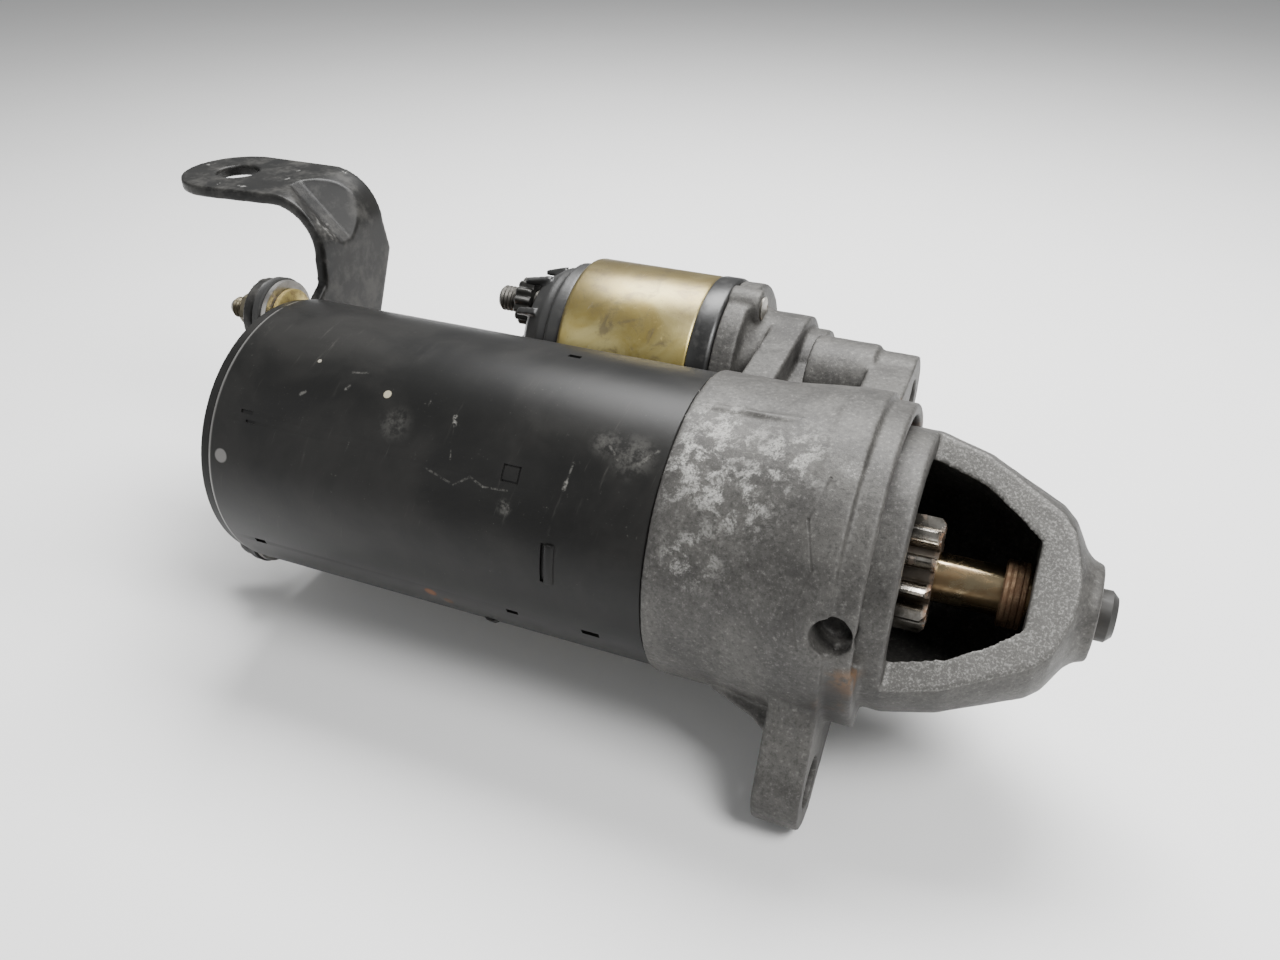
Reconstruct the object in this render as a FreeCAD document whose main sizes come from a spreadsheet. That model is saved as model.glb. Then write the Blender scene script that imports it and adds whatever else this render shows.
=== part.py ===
import FreeCAD, Part
import math
import os
import re

import Sketcher
from FreeCAD import Placement, Rotation, Vector

# Starter motor with a planetary reduction and a side solenoid, in millimetres.
# X runs along the motor axis towards the nose. The origin is on that axis, in the
# plane of the mounting flange. Z is up, square to the tab of the rear bracket.
# The solenoid lies beside the motor, solenoid_tilt degrees above Y.

doc = FreeCAD.newDocument("starter_motor")
sheet = doc.addObject("Spreadsheet::Sheet", "Dims")

sizes = {
    # motor body
    "seam": -42.5,
    "yoke_radius": 38,
    "yoke_wall": 3,
    "running_gap": 0.05,
    "fit_gap": 0.1,
    "yoke_end": -165.5,
    "cover_end": -169.5,
    "rear_cover_depth": 4,
    "rear_spigot_depth": 4,
    # drive end housing
    "body_radius": 39,
    "flange_radius": 41,
    "flange_depth": 14,
    "spigot_radius": 39.4,
    "spigot_length": 6,
    "spigot_wall": 3,
    "neck_radius": 34,
    "neck_end": 12,
    "nose_shoulder_x": 24,
    "nose_shoulder_radius": 31,
    "nose_tip_x": 42,
    "nose_tip_radius": 22.6,
    "nose_boss_start": 48.5,
    "nose_boss_radius": 12,
    "nose_end": 53,
    "nose_wall": 6,
    "clutch_room_radius": 29,
    "window_height": 15,
    "window_angle": 133,
    "window_end": 38.5,
    "ear_circle": 54.5,
    "ear_end_radius": 11.5,
    "ear_hole_radius": 6.25,
    "ear_depth": 11.5,
    "tapped_radius": 5.1,
    "tapped_depth": 12.5,
    "low_ear_angle": -131,
    "high_ear_angle": 20,
    "boss_length": 28,
    # motor link
    "link_radius": 2.8,
    "link_height": 3,
    # solenoid
    "solenoid_offset": 65.8,
    "core_rear_face": -101,
    "bridge_front": -107,
    "contact_rod_front": -73.4,
    "solenoid_tilt": 9,
    "can_radius": 26.8,
    "can_wall": 1.5,
    "can_rear": -102.2,
    "can_front": -62,
    "seal_radius": 27.1,
    "mount_face": -55.2,
    "mount_radius": 26.5,
    "mount_depth": 6.7,
    "tower_radius": 19.4,
    "tower_end": -33.2,
    "tower_step_radius": 16.3,
    "tower_step_end": -27.5,
    "head_radius": 12.8,
    "head_end": -9.5,
    "screw_circle": 22.9,
    "screw_radius": 2,
    "plunger_radius": 9.7,
    "plunger_rear": -81,
    "plunger_front": -50.5,
    "hook_radius": 6,
    "hook_end": -13.5,
    "core_front": -89.3,
    "cap_radius": 23,
    "cap_end": -118.5,
    "terminal_radius": 4,
    "terminal_offset": 12,
    "terminal_end": -131,
    "terminal_angle": 100,
    # gear train
    "gear_module": 0.9,
    "sun_teeth": 18,
    "planet_teeth": 21,
    "ring_teeth": 60,
    "gear_rear": -65.5,
    "gear_front": -52,
    "planet_pin_radius": 3.5,
    "ring_outer_radius": 34.9,
    # shaft and drive
    "shaft_radius": 6,
    "spline_radius": 8,
    "spline_end": -4.5,
    "shaft_end": 57.2,
    "sleeve_radius": 11,
    "collar_radius": 15.5,
    "sleeve_rear": -35.5,
    "groove_rear": -32.5,
    "groove_front": -26.5,
    "shell_rear": -18.5,
    "shell_front": 1.5,
    "shell_radius": 20,
    "race_radius": 12,
    "pinion_rear": 4.5,
    "pinion_front": 17.5,
    "pinion_teeth": 11,
    "pinion_radius": 14,
    "stop_rear": 32.5,
    "stop_front": 38,
    "stop_radius": 8,
    "clip_x": 34.4,
    # shift lever
    "lever_pivot_x": -22.3,
    "lever_pivot_height": 43,
    "lever_half_thickness": 2,
    "fork_inner": 16.1,
    "fork_outer": 19.6,
    "lever_lean": 9.65,
    "lever_pin_radius": 3,
    # armature
    "rotor_shaft_radius": 5,
    "core_radius": 28.4,
    "core_rear": -131.5,
    "core_front_face": -78.5,
    "commutator_radius": 13.5,
    "commutator_rear": -154.5,
    "commutator_length": 15,
    "brush_plate_rear": -158.4,
    # rear bracket and its studs
    "plate_x": -176,
    "plate_thickness": 3.5,
    "stud_circle": 32,
    "bolt_radius": 2.2,
    "stud_radius": 3,
    "stud_angle": 71,
    "stud_end": -190.5,
    "collar_nut_radius": 8,
    "bracket_ear_radius": 10,
    "tab_height": 56,
    "tab_near": 25,
    "tab_far": 67,
    "tab_hole_x": -216.7,
    "tab_hole_y": 50,
    "tab_hole_radius": 6.5,
    "tab_end_radius": 17,
    "bend_radius": 16,
}

for row, (alias, value) in enumerate(sizes.items(), 1):
    sheet.set("A%d" % row, alias)
    sheet.set("B%d" % row, str(value))
    sheet.setAlias("B%d" % row, alias)
doc.recompute()

MATHS = ("sin", "cos", "tan", "sqrt", "deg")
parts = []


def dims(expression):
    # turn the plain aliases of an expression into references to the sheet
    def reference(word):
        return word.group(0) if word.group(0) in MATHS else "Dims." + word.group(0)
    return re.sub(r"\b[a-z]\w*\b", reference, expression)


def size(alias):
    return float(sheet.get(alias))


def place(part, x="0", y="0", z="0", turn="0", about=Vector(1, 0, 0)):
    # put a part at (x, y, z), turned about an axis through its own origin
    part.Placement = Placement(Vector(), Rotation(about, 1))
    part.setExpression("Placement.Base.x", dims(x))
    part.setExpression("Placement.Base.y", dims(y))
    part.setExpression("Placement.Base.z", dims(z))
    part.setExpression("Placement.Rotation.Angle", dims(turn))


def keep(part, label):
    part.Label = label
    parts.append(part)
    return part


def newBody(label):
    return keep(doc.addObject("PartDesign::Body", label), label)


def originPart(body, role):
    return next(part for part in body.Origin.OriginFeatures if part.Role == role)


def newSketch(body, plane, lift="0", turn=None):
    # a sketch on one of the body's own planes, lifted along the plane's normal
    sketch = body.newObject("Sketcher::SketchObject", body.Name + "Sketch")
    sketch.AttachmentSupport = (originPart(body, plane), [""])
    sketch.MapMode = "FlatFace"
    if turn:
        sketch.AttachmentOffset = Placement(Vector(), Rotation(turn[0], 1))
        sketch.setExpression("AttachmentOffset.Rotation.Angle", dims(turn[1]))
        for axis, value in zip("xyz", turn[2]):
            sketch.setExpression("AttachmentOffset.Base." + axis, dims(value))
    else:
        sketch.setExpression("AttachmentOffset.Base.z", dims(lift))
    return sketch


def pin(sketch, geometry, point, across, up):
    # hold a point of the sketch at two sizes from the sheet
    for kind, value, start in (("DistanceX", across, 1.0), ("DistanceY", up, 1.0)):
        index = sketch.addConstraint(Sketcher.Constraint(kind, -1, 1, geometry, point, start))
        sketch.setExpression("Constraints[%d]" % index, dims(value))


def addOutline(sketch, corners):
    # a closed polygon whose corners are held by the sheet
    count = len(corners)
    first = sketch.GeometryCount
    ring = []
    for index in range(count):
        angle = -2 * math.pi * index / count
        ring.append(Vector(10 * math.cos(angle), 10 * math.sin(angle), 0))
    for index in range(count):
        sketch.addGeometry(Part.LineSegment(ring[index], ring[(index + 1) % count]), False)
    for index in range(count):
        following = first + (index + 1) % count
        sketch.addConstraint(Sketcher.Constraint("Coincident", first + index, 2, following, 1))
    for index, (across, up) in enumerate(corners):
        pin(sketch, first + index, 1, across, up)


def addCircle(sketch, across, up, radius):
    circle = sketch.addGeometry(Part.Circle(Vector(1, 1, 0), Vector(0, 0, 1), 5), False)
    pin(sketch, circle, 3, across, up)
    index = sketch.addConstraint(Sketcher.Constraint("Radius", circle, 5.0))
    sketch.setExpression("Constraints[%d]" % index, dims(radius))


def revolve(body, corners, offset="0", cut=False, sector=None):
    # turn an outline of (x, radius) corners about an axis parallel to X, all round or over
    # a sector given by its first angle and its sweep
    start, sweep = sector or ("0", 360)
    sketch = newSketch(body, "XY_Plane", turn=(Vector(1, 0, 0), start, ("0", "0", "0")))
    addOutline(sketch, [(x, "(%s) + (%s)" % (offset, radius)) for x, radius in corners])
    axis = sketch.addGeometry(Part.LineSegment(Vector(), Vector(5, 1, 0)), True)
    pin(sketch, axis, 1, "0", offset)
    pin(sketch, axis, 2, "10", offset)
    kind = "PartDesign::Groove" if cut else "PartDesign::Revolution"
    feature = body.newObject(kind, body.Name + "Turned")
    feature.Profile = sketch
    feature.ReferenceAxis = (sketch, ["Axis0"])
    feature.Angle = sweep
    return feature


def extrude(body, sketch, length, cut=False, forward=True):
    kind = "PartDesign::Pocket" if cut else "PartDesign::Pad"
    feature = body.newObject(kind, body.Name + ("Cut" if cut else "Pad"))
    feature.Profile = sketch
    feature.setExpression("Length", dims(length))
    feature.Reversed = forward == cut
    return feature


def repeat(body, features, count, axis="X_Axis"):
    pattern = body.newObject("PartDesign::PolarPattern", body.Name + "Pattern")
    pattern.Originals = features
    pattern.Axis = (originPart(body, axis), [""])
    pattern.Angle = 360
    pattern.Occurrences = count
    body.Tip = pattern
    return pattern


def turned(label, corners, offset="0", count=1):
    # a turned piece, or a ring of equal turned pieces round the body's X axis
    body = newBody(label)
    feature = revolve(body, corners, offset)
    if count > 1:
        repeat(body, [feature], count)
    return body


def rod(start, end, radius, chamfer="0.6"):
    # outline of a plain rod with a chamfer at both ends
    return [(start, "0"), (start, "%s - %s" % (radius, chamfer)),
            ("%s + %s" % (start, chamfer), radius),
            ("%s - %s" % (end, chamfer), radius), (end, "%s - %s" % (radius, chamfer)), (end, "0")]


def tube(start, end, inner, outer):
    return [(start, inner), (start, outer), (end, outer), (end, inner)]


def screwHoles(body, start, length, y="0", z="0", angle="0"):
    # clearance for the two screws that hold the solenoid
    holes = newSketch(body, "YZ_Plane", start)
    for side in ("1", "-1"):
        addCircle(holes, "%s + %s * screw_circle * cos(%s)" % (y, side, angle),
                  "%s + %s * screw_circle * sin(%s)" % (z, side, angle), "screw_radius + fit_gap")
    extrude(body, holes, length, cut=True)


def onSolenoid(part):
    # move a part made on the X axis to the solenoid's axis, its Z away from the motor
    place(part, y="solenoid_offset * cos(solenoid_tilt)", z="solenoid_offset * sin(solenoid_tilt)",
          turn="solenoid_tilt - 90")


def hexagon(sketch, across, up, radius):
    corners = []
    for index in range(6):
        angle = 60 * index
        corners.append(("%s + (%s) * cos(%d)" % (across, radius, angle),
                        "%s + (%s) * sin(%d)" % (up, radius, angle)))
    addOutline(sketch, corners)


def radial(radius, angle):
    # sketch coordinates of a point at a radius and an angle from Y towards Z
    return "(%s) * cos(%s)" % (radius, angle), "(%s) * sin(%s)" % (radius, angle)


def gearFace(teeth, module, backlash, tip, root):
    # a flat face with involute flanks, with one tooth centred on the Y direction
    pitch = teeth * module / 2
    base = pitch * math.cos(math.radians(20))
    halfTooth = math.pi / (2 * teeth) - backlash / (2 * pitch)

    def involute(radius):
        slope = math.acos(min(1.0, base / radius))
        return math.tan(slope) - slope

    def point(radius, angle):
        return Vector(0, radius * math.cos(angle), radius * math.sin(angle))

    edges = []
    start = max(base, root + 0.01)
    for tooth in range(teeth):
        centre = 2 * math.pi * tooth / teeth
        following = 2 * math.pi * (tooth + 1) / teeth
        radii = [start + (tip - start) * step / 4 for step in range(5)]
        spread = [halfTooth + involute(pitch) - involute(radius) for radius in radii]
        rising = [point(radius, centre - angle) for radius, angle in zip(radii, spread)]
        falling = [point(radius, centre + angle) for radius, angle in zip(radii, spread)][::-1]
        rootOut = point(root, centre + spread[0])
        rootIn = point(root, following - spread[0])
        for flank in (rising, falling):
            curve = Part.BSplineCurve()
            curve.interpolate(flank)
            edges.append(curve.toShape())
        edges.append(Part.Arc(rising[-1], point(tip, centre), falling[0]).toShape())
        nextStart = point(start, following - spread[0])
        edges.append(Part.LineSegment(falling[-1], rootOut).toShape())
        edges.append(Part.Arc(rootOut, point(root, (centre + following) / 2), rootIn).toShape())
        edges.append(Part.LineSegment(rootIn, nextStart).toShape())
    return Part.Wire(Part.__sortEdges__(edges))


def gearSolid(wire, start, length):
    solid = Part.Face(wire).extrude(Vector(length, 0, 0))
    solid.translate(Vector(start, 0, 0))
    return solid


def barrel(start, end, radius):
    return Part.makeCylinder(radius, end - start, Vector(start, 0, 0), Vector(1, 0, 0))


def shaped(label, shape):
    part = doc.addObject("Part::Feature", label)
    part.Shape = shape
    return keep(part, label)


def boltHoles(body, start, length):
    # clearance for the two through bolts
    holes = newSketch(body, "YZ_Plane", start)
    for angle in ("stud_angle", "stud_angle + 180"):
        y, z = radial("stud_circle", angle)
        addCircle(holes, y, z, "bolt_radius + fit_gap")
    extrude(body, holes, length, cut=True)


# ---- stationary casing -------------------------------------------------------------

def makeYoke():
    body = turned("yoke", [("yoke_end", "yoke_radius - yoke_wall"), ("yoke_end", "yoke_radius - 1"),
                           ("yoke_end + 1", "yoke_radius"), ("seam", "yoke_radius"),
                           ("seam", "yoke_radius - yoke_wall")])
    linkNotch(body)


def makeMagnets():
    # six magnets, each a thick arc on the wall of the yoke
    body = newBody("magnets")
    start, end = "core_rear - 2.5", "core_front_face + 2.5"
    revolve(body, tube(start, end, "core_radius + 0.8", "yoke_radius - yoke_wall - 0.1"))
    slot = newSketch(body, "XY_Plane")
    addOutline(slot, [("core_rear - 5", "-5"), ("core_front_face + 5", "-5"),
                      ("core_front_face + 5", "5"), ("core_rear - 5", "5")])
    cut = extrude(body, slot, "yoke_radius", cut=True)
    repeat(body, [cut], 6)
    place(body, turn="stud_angle - 90")


def makeHousing():
    # one aluminium casting: barrel, flange with two ears, spigot, open nose and solenoid seat
    body = newBody("drive_end_housing")
    revolve(body, [
        ("seam", "0"), ("seam", "body_radius"), ("seam + 17", "body_radius"),
        ("-15", "body_radius + 1.2"), ("-flange_depth + 8", "flange_radius"),
        ("0", "flange_radius"), ("0", "spigot_radius"),
        ("spigot_length", "spigot_radius"), ("spigot_length", "neck_radius"), ("neck_end", "neck_radius"),
        ("nose_shoulder_x", "nose_shoulder_radius"), ("nose_tip_x", "nose_tip_radius"),
        ("nose_tip_x + 3", "nose_tip_radius - 2.6"), ("nose_boss_start", "nose_boss_radius + 2"),
        ("nose_boss_start + 2", "nose_boss_radius"), ("nose_end", "nose_boss_radius - 0.8"),
        ("nose_end", "0")])
    for angle in ("low_ear_angle", "high_ear_angle"):
        y, z = radial("ear_circle", angle)
        lobe = newSketch(body, "YZ_Plane", "-ear_depth")
        addCircle(lobe, y, z, "ear_end_radius")
        extrude(body, lobe, "ear_depth")
        # the ear's sides run tangent into the flange
        web = newSketch(body, "YZ_Plane", "-ear_depth")
        side = "ear_end_radius"
        base = "flange_radius * 0.62"
        innerY, innerZ = "12 * cos(%s)" % angle, "12 * sin(%s)" % angle
        addOutline(web, [
            ("%s - %s * sin(%s)" % (y, side, angle), "%s + %s * cos(%s)" % (z, side, angle)),
            ("%s + %s * sin(%s)" % (y, side, angle), "%s - %s * cos(%s)" % (z, side, angle)),
            ("%s + %s * sin(%s)" % (innerY, base, angle), "%s - %s * cos(%s)" % (innerZ, base, angle)),
            ("%s - %s * sin(%s)" % (innerY, base, angle), "%s + %s * cos(%s)" % (innerZ, base, angle))])
        extrude(body, web, "ear_depth")
    # web that ties the back of the low ear to the barrel
    tie = newSketch(body, "XY_Plane", turn=(Vector(1, 0, 0), "low_ear_angle", ("0", "0", "0")))
    addOutline(tie, [("1 - ear_depth", "body_radius - 3"), ("1 - ear_depth", "body_radius + 7.5"),
                     ("-ear_depth - 4", "body_radius + 4"), ("-ear_depth - 15", "body_radius"),
                     ("-ear_depth - 20", "body_radius - 3")])
    tiePad = extrude(body, tie, "2 * ear_end_radius - 5")
    tiePad.Midplane = True
    # long boss behind the high ear
    y, z = radial("ear_circle", "high_ear_angle")
    boss = newSketch(body, "YZ_Plane", "-boss_length")
    addCircle(boss, y, z, "ear_end_radius + 1.3")
    extrude(body, boss, "boss_length - ear_depth + 1")
    # solenoid seat, stepped tower and the web that joins them to the barrel
    sy, sz = radial("solenoid_offset", "solenoid_tilt")
    for start, length, radius in (("mount_face", "mount_depth", "mount_radius"),
                                  ("mount_face + 1", "tower_end - mount_face - 1", "tower_radius"),
                                  ("tower_end - 1", "tower_step_end - tower_end + 1", "tower_step_radius"),
                                  ("tower_step_end - 1", "head_end - tower_step_end + 1", "head_radius")):
        step = newSketch(body, "YZ_Plane", start)
        addCircle(step, sy, sz, radius)
        extrude(body, step, length)
    for length, radius in (("tower_end - seam", "tower_radius"), ("head_end - seam", "head_radius")):
        web = newSketch(body, "YZ_Plane", "seam")
        addOutline(web, [
            ("%s - %s * sin(solenoid_tilt)" % (sy, radius), "%s + %s * cos(solenoid_tilt)" % (sz, radius)),
            ("%s + %s * sin(solenoid_tilt)" % (sy, radius), "%s - %s * cos(solenoid_tilt)" % (sz, radius)),
            ("8 + 1.35 * %s * sin(solenoid_tilt)" % radius, "-1.35 * %s * cos(solenoid_tilt)" % radius),
            ("8 - 1.35 * %s * sin(solenoid_tilt)" % radius, "1.35 * %s * cos(solenoid_tilt)" % radius)])
        extrude(body, web, length)
    # inside: bearing seat, room for the clutch, the hollow nose and the bush bore
    revolve(body, [
        ("seam - 1", "0"), ("seam - 1", "36"), ("seam + 2", "36"), ("seam + 2", "clutch_room_radius"),
        ("-3", "clutch_room_radius"), ("0", "neck_radius - nose_wall + 1"), ("neck_end", "neck_radius - nose_wall"),
        ("nose_shoulder_x", "nose_shoulder_radius - nose_wall"),
        ("window_end", "nose_tip_radius - nose_wall + 1"), ("window_end", "8.3"),
        ("nose_end + 1", "8.3"), ("nose_end + 1", "0")], cut=True)
    # ring recess between the spigot and the neck
    revolve(body, tube("1.5", "spigot_length + 1", "neck_radius", "spigot_radius - spigot_wall"),
            cut=True)
    # cast block that bridges the recess beside the low ear
    revolve(body, tube("1", "spigot_length + 1", "neck_radius - 3", "spigot_radius"),
            sector=("low_ear_angle - 44", 45))
    screwHoles(body, "mount_face - 1", "mount_depth + 1.5", sy, sz, "solenoid_tilt - 90")
    # flat that opens the nose towards the flywheel
    window = newSketch(body, "XY_Plane", turn=(Vector(1, 0, 0), "window_angle - 90", (
        "0", "-window_height * sin(window_angle - 90)", "window_height * cos(window_angle - 90)")))
    addOutline(window, [("neck_end", "-45"), ("nose_boss_start", "-45"),
                        ("nose_boss_start", "45"), ("neck_end", "45")])
    extrude(body, window, "40", cut=True)
    # through hole in the low ear, blind tapped hole in the high ear
    for angle, radius, depth in (("low_ear_angle", "ear_hole_radius", "ear_depth + 1"),
                                 ("high_ear_angle", "tapped_radius", "tapped_depth")):
        y, z = radial("ear_circle", angle)
        hole = newSketch(body, "YZ_Plane", "-(%s)" % depth)
        addCircle(hole, y, z, radius)
        extrude(body, hole, "%s + 1" % depth, cut=True)
    boltHoles(body, "seam - 1", "14")
    # plunger room, then a narrower room for its hook
    for start, length, radius in (("mount_face - 1", "tower_end - mount_face - 2", "14"),
                                  ("tower_end - 4", "head_end - tower_end + 1", "9.6")):
        room = newSketch(body, "YZ_Plane", start)
        addCircle(room, sy, sz, radius)
        extrude(body, room, length, cut=True)
    # slot for the shift lever
    slot = newSketch(body, "YZ_Plane", "lever_pivot_x - 14")
    def across(distance, side):
        return ("(%s) * cos(solenoid_tilt) - (%s) * sin(solenoid_tilt)" % (distance, side),
                "(%s) * sin(solenoid_tilt) + (%s) * cos(solenoid_tilt)" % (distance, side))
    addOutline(slot, [across("28", "-7.6"), across("solenoid_offset + 5", "-7.6"),
                      across("solenoid_offset + 5", "7.6"), across("28", "7.6")])
    extrude(body, slot, "22", cut=True)
    # cross hole for the lever's pin
    cross = newSketch(body, "XY_Plane", turn=(Vector(1, 0, 0), "solenoid_tilt", (
        "lever_pivot_x", "lever_pivot_height * cos(solenoid_tilt) + 17 * sin(solenoid_tilt)",
        "lever_pivot_height * sin(solenoid_tilt) - 17 * cos(solenoid_tilt)")))
    addCircle(cross, "0", "0", "lever_pin_radius")
    extrude(body, cross, "29", cut=True)
    # casting notch through the flange and the spigot
    notch = newSketch(body, "XY_Plane", turn=(Vector(1, 0, 0), "80", (
        "1", "-30 * sin(80)", "30 * cos(80)")))
    addCircle(notch, "0", "0", "4.5")
    extrude(body, notch, "20", cut=True)


def makeRearCover():
    body = turned("rear_cover", [
        ("cover_end", "0"), ("cover_end", "yoke_radius - 3"), ("cover_end + 1.5", "yoke_radius - 0.8"),
        ("yoke_end", "yoke_radius - 0.8"), ("yoke_end", "yoke_radius - yoke_wall - fit_gap"),
        ("yoke_end + rear_spigot_depth", "yoke_radius - yoke_wall - fit_gap"),
        ("yoke_end + rear_spigot_depth", "28"), ("yoke_end", "28"), ("yoke_end", "11"),
        ("yoke_end + 7", "11"), ("yoke_end + 7", "8"), ("yoke_end - 2", "8"), ("yoke_end - 2", "0")])
    boltHoles(body, "cover_end - 1", "rear_cover_depth + rear_spigot_depth + 2")
    linkNotch(body)


def linkNotch(body):
    # notch for the motor link's grommet in the rear edge, on the solenoid's side
    notch = newSketch(body, "YZ_Plane", "yoke_end")
    addOutline(notch, [("25", "link_height - 6"), ("45", "link_height - 6"),
                       ("45", "link_height + 6"), ("25", "link_height + 6")])
    extrude(body, notch, "7.4", cut=True)


def makeBrushPlate():
    body = newBody("brush_plate")
    revolve(body, tube("brush_plate_rear", "brush_plate_rear + 2", "15", "29.2"))
    holder = newSketch(body, "YZ_Plane", "brush_plate_rear + 2")
    addOutline(holder, [("16", "5.2"), ("29", "5.2"), ("29", "-5.2"), ("16", "-5.2"),
                        ("16", "-4"), ("27.8", "-4"), ("27.8", "4"), ("16", "4")])
    repeat(body, [extrude(body, holder, "14")], 4)
    place(body, turn="stud_angle - 45")


def makeBrushes():
    body = newBody("brushes")
    brush = newSketch(body, "YZ_Plane", "commutator_rear + 1")
    addOutline(brush, [("commutator_radius + 0.1", "-3.9"), ("23.5", "-3.9"), ("23.5", "3.9"),
                       ("commutator_radius + 0.1", "3.9")])
    repeat(body, [extrude(body, brush, "11")], 4)
    place(body, turn="stud_angle - 45")


def helixSpring(radius, wire, pitch, length):
    # a coil of round wire that stands on the origin along Z
    helix = Part.makeHelix(pitch, length, radius)
    section = Part.Wire(Part.makeCircle(wire, Vector(radius, 0, 0), Vector(0, 1, 0)))
    return Part.Wire(helix).makePipeShell([section], True, True)


def makeBrushSprings():
    springs = []
    for index in range(4):
        spring = helixSpring(2.4, 0.35, 1.1, 3.3)
        spring.Placement = Placement(
            Vector(size("commutator_rear") + 6.5, 0, 0),
            Rotation(Vector(1, 0, 0), size("stud_angle") - 45 + 90 * index)).multiply(
            Placement(Vector(0, 24, 0), Rotation(Vector(1, 0, 0), -90)))
        springs.append(spring)
    shaped("brush_springs", Part.makeCompound(springs))


def makeThroughBolts():
    # long bolts with a collar and a threaded stud behind it for the bracket
    body = turned("through_bolts", [
        ("seam + 12", "0"), ("seam + 12", "bolt_radius"), ("cover_end", "bolt_radius"),
        ("cover_end", "collar_nut_radius"), ("cover_end - 2", "collar_nut_radius"),
        ("cover_end - 2", "stud_radius"),
        ("stud_end + 1", "stud_radius"), ("stud_end", "stud_radius - 1"), ("stud_end", "0")], "stud_circle", 2)
    place(body, turn="stud_angle")


def studPiece(label, start, end, inner, outer):
    place(turned(label, tube(start, end, inner, outer), "stud_circle", 2), turn="stud_angle")


def makeStudNuts():
    body = newBody("stud_nuts")
    nut = newSketch(body, "YZ_Plane", "plate_x - plate_thickness - 5.2")
    hexagon(nut, "stud_circle", "0", "5.8")
    addCircle(nut, "stud_circle", "0", "stud_radius + 0.02")
    repeat(body, [extrude(body, nut, "5.1")], 2)
    place(body, turn="stud_angle")


def makeBracket():
    # flat plate on the two studs, an arm, and a tab bent square to it
    body = newBody("rear_bracket")
    sy, sz = radial("stud_circle", "stud_angle")
    plate = newSketch(body, "YZ_Plane", "plate_x - plate_thickness")
    addOutline(plate, [
        ("%s - 9" % sy, "%s - 4" % sz), ("-(%s) - 9.6" % sy, "-(%s) + 3" % sz),
        ("-(%s) + 4" % sy, "-(%s) - 9" % sz), ("30", "-20"), ("tab_far - 8", "10"), ("tab_far + 2", "30"),
        ("tab_far", "tab_height - bend_radius"), ("tab_near + 10", "tab_height - bend_radius"),
        ("tab_near + 9", "30"), ("tab_near + 4", "26.5"), ("%s + 9" % sy, "%s - 4" % sz)])
    extrude(body, plate, "plate_thickness")
    ears = newSketch(body, "YZ_Plane", "plate_x - plate_thickness")
    addCircle(ears, sy, sz, "bracket_ear_radius")
    addCircle(ears, "-(%s)" % sy, "-(%s)" % sz, "bracket_ear_radius")
    extrude(body, ears, "plate_thickness")
    bend = newSketch(body, "XY_Plane", "tab_height - bend_radius")
    addOutline(bend, [("plate_x - plate_thickness", "tab_near + 10"), ("plate_x", "tab_near + 10"),
                      ("plate_x", "tab_far"), ("plate_x - plate_thickness", "tab_far")])
    axis = bend.addGeometry(Part.LineSegment(Vector(), Vector(1, 5, 0)), True)
    pin(bend, axis, 1, "plate_x - bend_radius", "0")
    pin(bend, axis, 2, "plate_x - bend_radius", "10")
    turn = body.newObject("PartDesign::Revolution", "bracketBend")
    turn.Profile = bend
    turn.ReferenceAxis = (bend, ["Axis0"])
    turn.Angle = 90
    turn.Reversed = True
    tab = newSketch(body, "XY_Plane", "tab_height - plate_thickness")
    addOutline(tab, [("plate_x - bend_radius", "tab_near + 10"), ("plate_x - bend_radius", "tab_far"),
                     ("tab_hole_x", "tab_hole_y + tab_end_radius"), ("tab_hole_x", "tab_hole_y - tab_end_radius")])
    extrude(body, tab, "plate_thickness")
    end = newSketch(body, "XY_Plane", "tab_height - plate_thickness")
    addCircle(end, "tab_hole_x", "tab_hole_y", "tab_end_radius")
    extrude(body, end, "plate_thickness")
    hole = newSketch(body, "XY_Plane", "tab_height - plate_thickness - 1")
    addCircle(hole, "tab_hole_x", "tab_hole_y", "tab_hole_radius")
    extrude(body, hole, "plate_thickness + 2", cut=True)
    studs = newSketch(body, "YZ_Plane", "plate_x - plate_thickness - 1")
    addCircle(studs, sy, sz, "stud_radius + 0.3")
    addCircle(studs, "-(%s)" % sy, "-(%s)" % sz, "stud_radius + 0.3")
    extrude(body, studs, "plate_thickness + 2", cut=True)


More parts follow.
